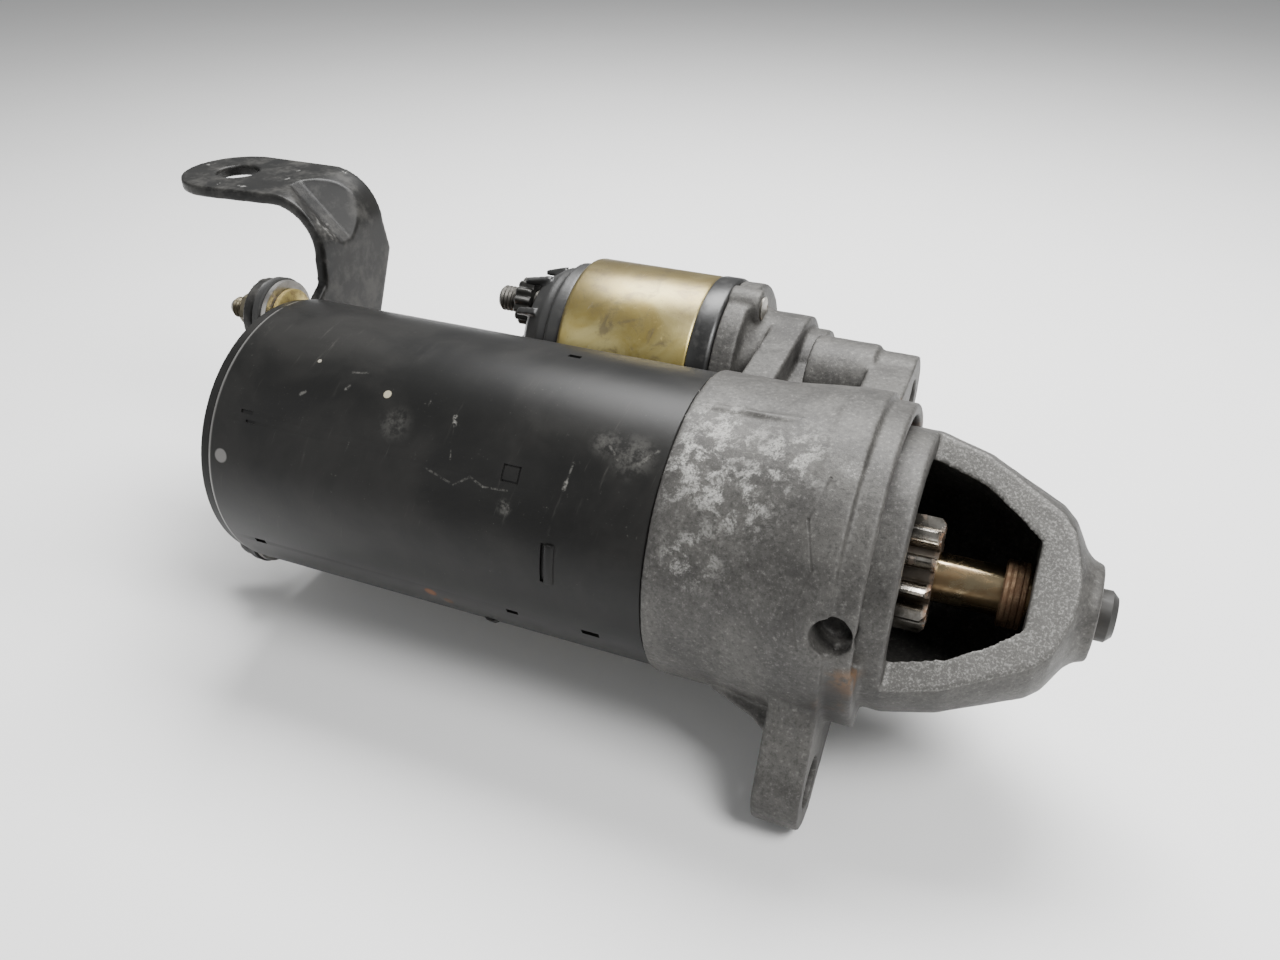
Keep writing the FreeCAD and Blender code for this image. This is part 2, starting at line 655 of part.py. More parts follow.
def makeLink():
    # rigid copper link from the motor terminal, back along the yoke and in through the grommet
    sy = size("solenoid_offset") * math.cos(math.radians(size("solenoid_tilt")))
    sz = size("solenoid_offset") * math.sin(math.radians(size("solenoid_tilt")))
    angle = math.radians(size("terminal_angle") + 180)
    eyeY = sy + size("terminal_offset") * math.cos(angle)
    eyeZ = sz + size("terminal_offset") * math.sin(angle)
    eyeX = size("cap_end") - 6.4
    radius = size("link_radius")
    outX = size("yoke_end") + 3.6
    height = size("link_height")
    route = [Vector(eyeX, eyeY - 10.6, eyeZ), Vector(eyeX, eyeY - 22, eyeZ), Vector(outX, eyeY - 22, height),
             Vector(outX, 29, height)]
    edges = []
    start = route[0]
    for before, corner, after in zip(route, route[1:], route[2:]):
        inward = (before - corner).normalize()
        outward = (after - corner).normalize()
        half = (math.pi - inward.getAngle(outward)) / 2
        run = min((before - corner).Length, (after - corner).Length)
        reach = min(0.45 * run, 6)
        first = corner + inward * reach
        last = corner + outward * reach
        bend = reach / math.tan(half)
        centre = corner + (inward + outward).normalize() * (bend / math.cos(half))
        middle = centre + (corner - centre).normalize() * bend
        print("link bend radius %.1f mm" % bend)
        edges.append(Part.LineSegment(start, first).toShape())
        edges.append(Part.Arc(first, middle, last).toShape())
        start = last
    edges.append(Part.LineSegment(start, route[-1]).toShape())
    path = Part.Wire(edges)
    section = Part.Wire(Part.makeCircle(radius, route[0], route[1] - route[0]))
    link = path.makePipeShell([section], True, False)
    shaped("motor_link", link)
    print("link volume against section times length: %.3f" % (
        link.Volume / (math.pi * radius ** 2 * path.Length)))
    eye = Part.makeCylinder(8.4, 1.4, Vector(eyeX - 0.7, eyeY, eyeZ), Vector(1, 0, 0))
    barrelPart = Part.makeCylinder(radius + 0.8, 3, route[0] + Vector(0, -0.6, 0), Vector(0, 1, 0))
    hole = Part.makeCylinder(size("terminal_radius") + 0.1, 12, Vector(eyeX - 6, eyeY, eyeZ), Vector(1, 0, 0))
    core = Part.makeCylinder(radius, 0.7, route[0] + Vector(0, -0.65, 0), Vector(0, 1, 0))
    shaped("link_eye", eye.fuse(barrelPart).cut(hole).cut(core))


def makeGrommet():
    body = newBody("link_grommet")
    block = newSketch(body, "YZ_Plane", "yoke_end + fit_gap")
    addOutline(block, [("31", "link_height - 5.9"), ("yoke_radius + 0.6", "link_height - 5.9"),
                       ("yoke_radius + 0.6", "link_height + 5.9"), ("31", "link_height + 5.9")])
    extrude(body, block, "7.2")
    hole = newSketch(body, "XZ_Plane", "-50")
    addCircle(hole, "yoke_end + 3.6", "link_height", "link_radius + fit_gap")
    extrude(body, hole, "60", cut=True)


# ---- solenoid ---------------------------------------------------------------------

def makeSolenoid():
    onSolenoid(turned("solenoid_can", [
        ("can_rear", "can_radius - 3.2"), ("can_rear", "can_radius - 1.4"), ("can_rear + 1.6", "can_radius"),
        ("can_front", "can_radius"), ("can_front", "can_radius - can_wall"),
        ("can_rear + 1.2", "can_radius - can_wall"), ("can_rear + 1.2", "can_radius - 3.2")]))
    seal = turned("solenoid_seal", [
        ("can_front", "can_radius - 8"), ("can_front", "seal_radius - 0.6"),
        ("can_front + 0.8", "seal_radius"), ("mount_face - 0.8", "seal_radius"),
        ("mount_face", "seal_radius - 0.6"), ("mount_face", "can_radius - 8")])
    screwHoles(seal, "can_front - 1", "mount_face - can_front + 2")
    onSolenoid(seal)
    pole = turned("pole_plate", tube("can_front - 4", "can_front", "plunger_radius + 0.5",
                                     "can_radius - can_wall - fit_gap"))
    screwHoles(pole, "can_front - 5", "6")
    onSolenoid(pole)
    onSolenoid(turned("solenoid_core", [
        ("core_rear_face", "2.6"), ("core_rear_face", "can_radius - can_wall - fit_gap"),
        ("core_rear_face + 3", "can_radius - can_wall - fit_gap"), ("core_rear_face + 3", "plunger_radius"),
        ("core_front", "plunger_radius - 2"), ("core_front", "2.6")]))
    onSolenoid(turned("coil_bobbin", [
        ("core_rear_face + 3.1", "plunger_radius + 0.3"), ("core_rear_face + 3.1", "can_radius - can_wall - 0.6"),
        ("core_rear_face + 4.4", "can_radius - can_wall - 0.6"), ("core_rear_face + 4.4", "plunger_radius + 1.3"),
        ("can_front - 5.4", "plunger_radius + 1.3"), ("can_front - 5.4", "can_radius - can_wall - 0.6"),
        ("can_front - 4.1", "can_radius - can_wall - 0.6"), ("can_front - 4.1", "plunger_radius + 0.3")]))
    onSolenoid(turned("solenoid_coil", tube("core_rear_face + 4.5", "can_front - 5.5", "plunger_radius + 1.4",
                                            "can_radius - can_wall - 1.4")))
    plunger = turned("plunger", [
        ("plunger_rear", "6.2"), ("plunger_rear", "plunger_radius - 0.6"), ("plunger_rear + 0.6", "plunger_radius"),
        ("plunger_front", "plunger_radius"), ("plunger_front", "hook_radius"), ("hook_end - 1", "hook_radius"),
        ("hook_end", "hook_radius - 1"), ("hook_end", "0"), ("plunger_rear + 13", "0"), ("plunger_rear + 13", "6.2")])
    slot = newSketch(plunger, "XY_Plane", "-hook_radius - 1")
    top = "lever_pivot_x + (solenoid_offset - lever_pivot_height) * sin(lever_lean)"
    addOutline(slot, [(top + " - 3.3", "-3.5"), (top + " + 3.3", "-3.5"),
                      (top + " + 3.3", "3.5"), (top + " - 3.3", "3.5")])
    extrude(plunger, slot, "2 * hook_radius + 2", cut=True)
    onSolenoid(plunger)
    spring = helixSpring(4.9, 0.6, 2.6, size("plunger_rear") + 13 - size("core_front") - 1.6)
    spring = shaped("return_spring", spring)
    spring.Placement = solenoidPoint(size("core_front") + 0.8)
    spring = shaped("contact_spring", helixSpring(4.4, 0.35, 1.0, 2.9))
    spring.Placement = solenoidPoint(size("bridge_front") + 0.4)
    onSolenoid(turned("contact_rod", rod("bridge_front - 5.2", "contact_rod_front", "2.4", "0.4")))
    bridge = newBody("contact_bridge")
    bar = newSketch(bridge, "YZ_Plane", "bridge_front - 2.2")
    addOutline(bar, [("-17", "-5.5"), ("17", "-5.5"), ("17", "5.5"), ("-17", "5.5")])
    addCircle(bar, "0", "0", "2.42")
    extrude(bridge, bar, "2.2")
    onSolenoidTerminals(bridge)
    makeCap()
    studs = turned("terminal_studs", [
        ("bridge_front - 4.8", "0"), ("bridge_front - 4.8", "5.5"), ("bridge_front - 7.4", "5.5"),
        ("bridge_front - 7.4", "terminal_radius"), ("cap_end - 5.8", "terminal_radius"),
        ("cap_end - 5.8", "terminal_radius - 0.25"), ("terminal_end + 1", "terminal_radius - 0.25"),
        ("terminal_end", "terminal_radius - 1.2"), ("terminal_end", "0")], "terminal_offset", 2)
    onSolenoidTerminals(studs)
    nuts = newBody("terminal_nuts")
    for lift in ("cap_end - 5.6",):
        sketch = newSketch(nuts, "YZ_Plane", lift)
        hexagon(sketch, "terminal_offset", "0", "7.4")
        addCircle(sketch, "terminal_offset", "0", "terminal_radius + 0.02")
        repeat(nuts, [extrude(nuts, sketch, "5.4")], 2)
    onSolenoidTerminals(nuts)
    blade = newBody("signal_blade")
    flat = newSketch(blade, "YZ_Plane", "cap_end - 9")
    addOutline(flat, [("-3.1", "13"), ("3.1", "13"), ("3.1", "13.8"), ("-3.1", "13.8")])
    extrude(blade, flat, "13")
    onSolenoidTerminals(blade)
    screws = turned("solenoid_screws", [
        ("mount_face - 10", "0"), ("mount_face - 10", "screw_radius"), ("mount_face + mount_depth", "screw_radius"),
        ("mount_face + mount_depth", "3.4"), ("mount_face + mount_depth + 3", "3.4"),
        ("mount_face + mount_depth + 3", "0")], "screw_circle", 2)
    onSolenoid(screws)


def solenoidPoint(x):
    # placement that stands a coil made along Z on the solenoid's axis at x
    tilt = math.radians(size("solenoid_tilt"))
    reach = size("solenoid_offset")
    return Placement(Vector(x, reach * math.cos(tilt), reach * math.sin(tilt)), Rotation(Vector(0, 1, 0), 90))


def onSolenoidTerminals(part):
    # as onSolenoid, with the part's Y towards the battery terminal
    place(part, y="solenoid_offset * cos(solenoid_tilt)", z="solenoid_offset * sin(solenoid_tilt)",
          turn="terminal_angle")


def makeCap():
    cap = turned("solenoid_cap", [
        ("can_rear", "cap_radius - 2"), ("can_rear", "cap_radius"), ("cap_end + 8", "cap_radius - 0.4"),
        ("cap_end + 3", "cap_radius - 3.4"), ("cap_end", "cap_radius - 8.4"), ("cap_end", "0"),
        ("cap_end + 3", "0"), ("cap_end + 3", "cap_radius - 7"), ("cap_end + 4.5", "cap_radius - 4"),
        ("cap_end + 9", "cap_radius - 2")])
    wall = newSketch(cap, "YZ_Plane", "cap_end - 5.5")
    addOutline(wall, [("-1.6", "-12"), ("1.6", "-12"), ("1.6", "12"), ("-1.6", "12")])
    extrude(cap, wall, "6.5")
    holes = newSketch(cap, "YZ_Plane", "cap_end - 1")
    addCircle(holes, "terminal_offset", "0", "terminal_radius + fit_gap")
    addCircle(holes, "-terminal_offset", "0", "terminal_radius + fit_gap")
    addOutline(holes, [("-3.2", "12.9"), ("3.2", "12.9"), ("3.2", "13.9"), ("-3.2", "13.9")])
    extrude(cap, holes, "6", cut=True)
    onSolenoidTerminals(cap)


# ---- armature and reduction -------------------------------------------------------------

def makeArmature():
    turned("armature_shaft", [
        ("yoke_end - 1", "0"), ("yoke_end - 1", "rotor_shaft_radius - 0.5"), ("yoke_end - 0.5", "rotor_shaft_radius"),
        ("gear_front", "rotor_shaft_radius"), ("gear_front", "4"), ("gear_front + 5.5", "4"), ("gear_front + 5.5", "0")])
    core = newBody("armature_core")
    revolve(core, tube("core_rear", "core_front_face", "rotor_shaft_radius + 0.02", "core_radius"))
    slot = newSketch(core, "YZ_Plane", "core_rear - 1")
    addOutline(slot, [("core_radius + 1", "-1"), ("core_radius - 1.5", "-1"), ("core_radius - 1.5", "-2"),
                      ("core_radius - 9", "-1.6"), ("core_radius - 9", "1.6"), ("core_radius - 1.5", "2"),
                      ("core_radius - 1.5", "1"), ("core_radius + 1", "1")])
    repeat(core, [extrude(core, slot, "core_front_face - core_rear + 2", cut=True)], 19)
    turned("armature_winding", tube("core_front_face + 0.1", "core_front_face + 8", "9", "core_radius - 2.4"))
    turned("rear_winding", [("commutator_rear + commutator_length + 0.2", "9"),
                            ("commutator_rear + commutator_length + 0.2", "commutator_radius + 3"),
                            ("core_rear - 4", "core_radius - 2.4"), ("core_rear - 0.1", "core_radius - 2.4"),
                            ("core_rear - 0.1", "9")])
    ring = newBody("commutator")
    revolve(ring, tube("commutator_rear", "commutator_rear + commutator_length", "rotor_shaft_radius + 0.02",
                       "commutator_radius"))
    gap = newSketch(ring, "YZ_Plane", "commutator_rear - 1")
    addOutline(gap, [("commutator_radius + 1", "-0.3"), ("commutator_radius - 1", "-0.3"),
                     ("commutator_radius - 1", "0.3"), ("commutator_radius + 1", "0.3")])
    repeat(ring, [extrude(ring, gap, "commutator_length + 2", cut=True)], 19)


def makeGears():
    module = size("gear_module")
    start = size("gear_rear")
    width = size("gear_front") - start
    sunTeeth = int(size("sun_teeth"))
    planetTeeth = int(size("planet_teeth"))
    ringTeeth = int(size("ring_teeth"))
    backlash = 0.16
    addendum = 0.9 * module
    dedendum = 1.2 * module
    radius = sunTeeth * module / 2
    sun = gearSolid(gearFace(sunTeeth, module, backlash, radius + addendum, radius - dedendum), start, width)
    shaped("sun_gear", sun.cut(barrel(start - 1, start + width + 1, size("rotor_shaft_radius") + 0.02)))
    radius = planetTeeth * module / 2
    centre = (sunTeeth + planetTeeth) * module / 2
    face = gearFace(planetTeeth, module, backlash, radius + addendum, radius - dedendum)
    for index in range(3):
        planet = gearSolid(face, start + 0.4, width - 0.8)
        planet = planet.cut(barrel(start - 1, start + width + 1, size("planet_pin_radius") + size("running_gap")))
        angle = math.radians(120 * index)
        planet = shaped("planet_gear_%d" % (index + 1), planet)
        planet.Placement = Placement(Vector(0, centre * math.cos(angle), centre * math.sin(angle)),
                                     Rotation(Vector(1, 0, 0), 120 * index))
    radius = ringTeeth * module / 2
    outer = barrel(start, start + width, size("ring_outer_radius"))
    gapFace = gearFace(ringTeeth, module, -0.1, radius + dedendum, radius - addendum)
    gaps = gearSolid(gapFace, start - 1, width + 2)
    ring = outer.cut(gaps)
    for side in (0, 180):
        angle = math.radians(size("stud_angle") + side)
        bolt = barrel(start - 1, start + width + 1, size("bolt_radius") + 0.15)
        bolt.translate(Vector(0, size("stud_circle") * math.cos(angle), size("stud_circle") * math.sin(angle)))
        ring = ring.cut(bolt)
    shaped("ring_gear", ring)


def makePlates():
    gear = turned("gear_plate", tube("gear_rear - 3", "gear_rear - 0.4", "rotor_shaft_radius + 1.5",
                                     "ring_outer_radius"))
    boltHoles(gear, "gear_rear - 4", "5")
    bearing = turned("bearing_plate", [
        ("seam - 3.5", "9.9"), ("seam - 3.5", "ring_outer_radius"),
        ("seam", "ring_outer_radius"), ("seam", "35.9"),
        ("seam + 1.8", "35.9"), ("seam + 1.8", "12.5"), ("seam + 6", "12.5"), ("seam + 6", "9.9")])
    boltHoles(bearing, "seam - 4", "7")
    turned("carrier_bush", tube("seam - 3.5", "seam + 6", "spline_radius + running_gap", "9.88"))
    turned("nose_bush", tube("window_end + 0.5", "nose_end - 0.3", "shaft_radius + running_gap", "8.28"))


def makeDriveShaft():
    body = newBody("drive_shaft")
    revolve(body, [
        ("gear_front + 0.7", "0"), ("gear_front + 0.7", "24.5"), ("gear_front + 5.5", "24.5"),
        ("gear_front + 5.5", "spline_radius"), ("spline_end", "spline_radius"), ("spline_end", "shaft_radius"),
        ("clip_x", "shaft_radius"), ("clip_x", "shaft_radius - 0.5"), ("clip_x + 1.4", "shaft_radius - 0.5"),
        ("clip_x + 1.4", "shaft_radius"), ("shaft_end - 1.4", "shaft_radius"),
        ("shaft_end", "shaft_radius - 1.4"),
        ("shaft_end", "0")])
    revolve(body, [("gear_front", "0"), ("gear_front", "4.1"), ("gear_front + 6.2", "4.1"),
                   ("gear_front + 6.2", "0")], cut=True)
    pins = newSketch(body, "YZ_Plane", "gear_front")
    for angle in (0, 120, 240):
        y, z = radial("(sun_teeth + planet_teeth) * gear_module / 2", str(angle))
        addCircle(pins, y, z, "planet_pin_radius + 0.02")
    extrude(body, pins, "7", cut=True)
    # straight splines under the clutch sleeve
    groove = newSketch(body, "YZ_Plane", "seam + 6.5")
    addOutline(groove, [("spline_radius + 1", "-1"), ("spline_radius - 0.8", "-0.8"),
                        ("spline_radius - 0.8", "0.8"), ("spline_radius + 1", "1")])
    repeat(body, [extrude(body, groove, "spline_end - seam - 6.5", cut=True)], 10)
    place(turned("planet_pins", rod("gear_rear + 0.2", "gear_front + 5.4", "planet_pin_radius", "0.3"),
                 "(sun_teeth + planet_teeth) * gear_module / 2", 3))
    turned("stop_ring", [
        ("stop_rear", "shaft_radius + 0.02"), ("stop_rear", "stop_radius - 0.8"), ("stop_rear + 0.8", "stop_radius"),
        ("stop_front - 0.8", "stop_radius"), ("stop_front", "stop_radius - 0.8"),
        ("stop_front", "shaft_radius + 0.02"),
        ("clip_x + 1.5", "shaft_radius + 0.02"), ("clip_x + 1.5", "7.2"), ("clip_x - 0.1", "7.2"),
        ("clip_x - 0.1", "shaft_radius + 0.02")])
    clip = newBody("stop_circlip")
    revolve(clip, tube("clip_x + 0.1", "clip_x + 1.3", "shaft_radius - 0.48", "7.1"))
    gap = newSketch(clip, "YZ_Plane", "clip_x - 1")
    addOutline(gap, [("0", "-1.5"), ("9", "-1.5"), ("9", "1.5"), ("0", "1.5")])
    extrude(clip, gap, "4", cut=True)


# ---- drive that slides on the shaft -------------------------------------------------------

def makeClutch():
    turned("clutch_sleeve", [
        ("sleeve_rear", "spline_radius + running_gap"), ("sleeve_rear", "collar_radius"),
        ("groove_rear", "collar_radius"), ("groove_rear", "sleeve_radius"), ("groove_front", "sleeve_radius"),
        ("groove_front", "collar_radius"), ("groove_front + 2.5", "collar_radius"),
        ("groove_front + 2.5", "sleeve_radius"), ("shell_rear + 3", "sleeve_radius"),
        ("shell_rear + 3", "spline_radius + running_gap")])
    turned("clutch_shell", [
        ("shell_rear", "sleeve_radius + 0.02"), ("shell_rear", "shell_radius - 1"),
        ("shell_rear + 1", "shell_radius"), ("shell_front - 1", "shell_radius"),
        ("shell_front", "shell_radius - 1"), ("shell_front", "race_radius + 4.6"),
        ("shell_rear + 3", "race_radius + 4.6"), ("shell_rear + 3", "sleeve_radius + 0.02")])
    turned("clutch_cover", tube("shell_front - 1.8", "shell_front - 0.2", "race_radius + 0.2", "race_radius + 4.58"))
    turned("clutch_rollers", rod("shell_rear + 5", "shell_front - 2.4", "2.2", "0.3"), "race_radius + 2.25", 5)


def makePinion():
    module = 2 * size("pinion_radius") / (size("pinion_teeth") + 2)
    pitch = module * size("pinion_teeth") / 2
    rear = size("pinion_rear")
    front = size("pinion_front")
    face = gearFace(int(size("pinion_teeth")), module, 0.5, size("pinion_radius"), pitch - 1.2 * module)
    teeth = gearSolid(face, rear, front - rear)
    # the teeth are bevelled at the front so that they find the flywheel's gaps
    lead = Part.makeCone(size("pinion_radius") + 2.2, size("pinion_radius") - 1.2, 3.4,
                         Vector(front - 3.4, 0, 0), Vector(1, 0, 0))
    teeth = teeth.common(barrel(rear - 1, front - 3.4, size("pinion_radius") + 3).fuse(lead))
    raceRear = size("shell_rear") + 4
    hub = barrel(raceRear, rear - 1.6, size("race_radius")).fuse(barrel(rear - 2, rear + 1, 9.4))
    bore = barrel(raceRear - 1, front + 1, size("shaft_radius") + size("running_gap"))
    wide = barrel(raceRear - 1, size("spline_end") + 0.5, size("spline_radius") + 0.1)
    shaped("pinion", teeth.fuse(hub).cut(bore).cut(wide).removeSplitter())


def makeLever():
    # forked lever made upright on its pivot, then leaned back to its rest position
    body = newBody("shift_lever")
    fork = newSketch(body, "YZ_Plane", "-lever_half_thickness")
    top = "solenoid_offset - lever_pivot_height + 4"
    low = "-lever_pivot_height"
    half = [("3", top), ("3", "%s - 9" % top), ("6.5", "6"), ("6.5", "%s + 27" % low), ("17", "%s + 21" % low),
            ("fork_outer", "%s + 16" % low), ("fork_outer", "%s - 3" % low), ("fork_inner", "%s - 3" % low),
            ("fork_inner", "%s + 14" % low), ("6", "%s + 22" % low)]
    addOutline(fork, half + [("-" + y if y[0] != "-" else y[1:], z) for y, z in half[::-1]])
    extrude(body, fork, "2 * lever_half_thickness")
    hub = newSketch(body, "XZ_Plane", "-6.5")
    addCircle(hub, "0", "0", "lever_pin_radius + 3")
    extrude(body, hub, "13")
    hole = newSketch(body, "XZ_Plane", "-8")
    addCircle(hole, "0", "0", "lever_pin_radius + running_gap")
    extrude(body, hole, "16", cut=True, forward=True)
    for lift in ("-fork_outer", "sleeve_radius + 0.8"):
        pad = newSketch(body, "XZ_Plane", lift)
        addCircle(pad, "0", low, "2.6")
        extrude(body, pad, "fork_outer - sleeve_radius - 0.8")
    tilt = math.radians(size("solenoid_tilt"))
    reach = size("lever_pivot_height")
    body.Placement = Placement(
        Vector(size("lever_pivot_x"), reach * math.cos(tilt), reach * math.sin(tilt)),
        Rotation(Vector(1, 0, 0), size("solenoid_tilt") - 90).multiply(
            Rotation(Vector(0, 1, 0), size("lever_lean"))))
    pivot = newBody("lever_pin")
    sketch = newSketch(pivot, "XZ_Plane", "-11.5")
    addCircle(sketch, "0", "0", "lever_pin_radius - 0.02")
    extrude(pivot, sketch, "23")
    place(pivot, x="lever_pivot_x", y="lever_pivot_height * cos(solenoid_tilt)",
          z="lever_pivot_height * sin(solenoid_tilt)", turn="solenoid_tilt - 90")


makeYoke()
makeMagnets()
makeHousing()
makeRearCover()
turned("rear_bush", tube("yoke_end - 1.5", "yoke_end + 7", "rotor_shaft_radius + running_gap", "7.98"))
makeBrushPlate()
makeBrushes()
makeBrushSprings()
makeThroughBolts()
studPiece("stud_washers", "cover_end - 3.5", "cover_end - 2.1", "stud_radius + 0.1", "10.2")
studPiece("isolator_rings", "plate_x + 0.05", "cover_end - 3.6", "stud_radius + 0.1", "10.8")
makeStudNuts()
makeBracket()
makeLink()
makeGrommet()
makeSolenoid()
makeArmature()
makeGears()
makePlates()
makeDriveShaft()
makeClutch()
makePinion()
makeLever()

doc.recompute()
for item in doc.Objects:
    if "Invalid" in item.State or "Error" in item.State:
        raise RuntimeError("%s failed: %s" % (item.Label, item.getStatusString()))
for part in parts:
    if part.Shape.isNull() or not part.Shape.isValid():
        raise RuntimeError("%s has no valid shape" % part.Label)

os.makedirs("parts", exist_ok=True)
for part in parts:
    part.Shape.exportStep("parts/%s.step" % part.Label)
    print("%-20s %d solid(s) %9.0f mm3" % (part.Label, len(part.Shape.Solids), part.Shape.Volume))
print(len(parts), "nodes")
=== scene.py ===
import math

import bmesh
import bpy
import numpy as np
from mathutils import Matrix, Vector, noise


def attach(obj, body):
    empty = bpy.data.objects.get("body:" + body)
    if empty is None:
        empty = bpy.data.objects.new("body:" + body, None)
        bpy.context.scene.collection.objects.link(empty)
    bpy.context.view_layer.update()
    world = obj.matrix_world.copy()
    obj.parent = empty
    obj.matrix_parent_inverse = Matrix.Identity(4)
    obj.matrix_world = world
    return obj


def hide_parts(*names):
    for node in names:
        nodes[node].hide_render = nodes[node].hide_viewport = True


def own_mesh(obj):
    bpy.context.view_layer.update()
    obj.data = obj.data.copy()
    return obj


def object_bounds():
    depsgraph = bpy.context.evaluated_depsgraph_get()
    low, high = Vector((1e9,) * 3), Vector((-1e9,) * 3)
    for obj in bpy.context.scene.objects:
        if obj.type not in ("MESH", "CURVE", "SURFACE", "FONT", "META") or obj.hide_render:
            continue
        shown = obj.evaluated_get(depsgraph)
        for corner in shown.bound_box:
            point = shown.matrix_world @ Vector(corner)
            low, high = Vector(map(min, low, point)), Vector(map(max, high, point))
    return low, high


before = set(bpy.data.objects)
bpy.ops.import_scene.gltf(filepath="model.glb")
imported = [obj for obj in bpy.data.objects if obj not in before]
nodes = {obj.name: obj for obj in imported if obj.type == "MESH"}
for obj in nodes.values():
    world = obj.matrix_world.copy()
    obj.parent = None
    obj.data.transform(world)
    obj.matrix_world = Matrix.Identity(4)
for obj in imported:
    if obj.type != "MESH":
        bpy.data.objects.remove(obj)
cadLow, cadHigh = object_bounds()
mm = 0.001

# the motor axis is X; the solenoid lies beside it, a little above the Y direction
motor = {"rear": -165.5}
solenoid = {"reach": 65.8, "tilt": 9.0}
solenoidY = solenoid["reach"] * math.cos(math.radians(solenoid["tilt"]))
solenoidZ = solenoid["reach"] * math.sin(math.radians(solenoid["tilt"]))


def around(x, radius, angle, y=0.0, z=0.0):
    # a point in metres, given in millimetres and degrees about an axis parallel to X
    turn = math.radians(angle)
    return Vector((x, y + radius * math.cos(turn), z + radius * math.sin(turn))) * mm


class Wire:
    # a socket that takes part in plain arithmetic
    def __init__(self, finish, socket):
        self.finish = finish
        self.socket = socket

    def __add__(self, other):
        return self.finish.maths("ADD", self, other)

    def __sub__(self, other):
        return self.finish.maths("SUBTRACT", self, other)

    def __mul__(self, other):
        return self.finish.maths("MULTIPLY", self, other)

    def __radd__(self, other):
        return self.finish.maths("ADD", other, self)

    def __rsub__(self, other):
        return self.finish.maths("SUBTRACT", other, self)

    def __rmul__(self, other):
        return self.finish.maths("MULTIPLY", other, self)

    def larger(self, other):
        return self.finish.maths("MAXIMUM", self, other)


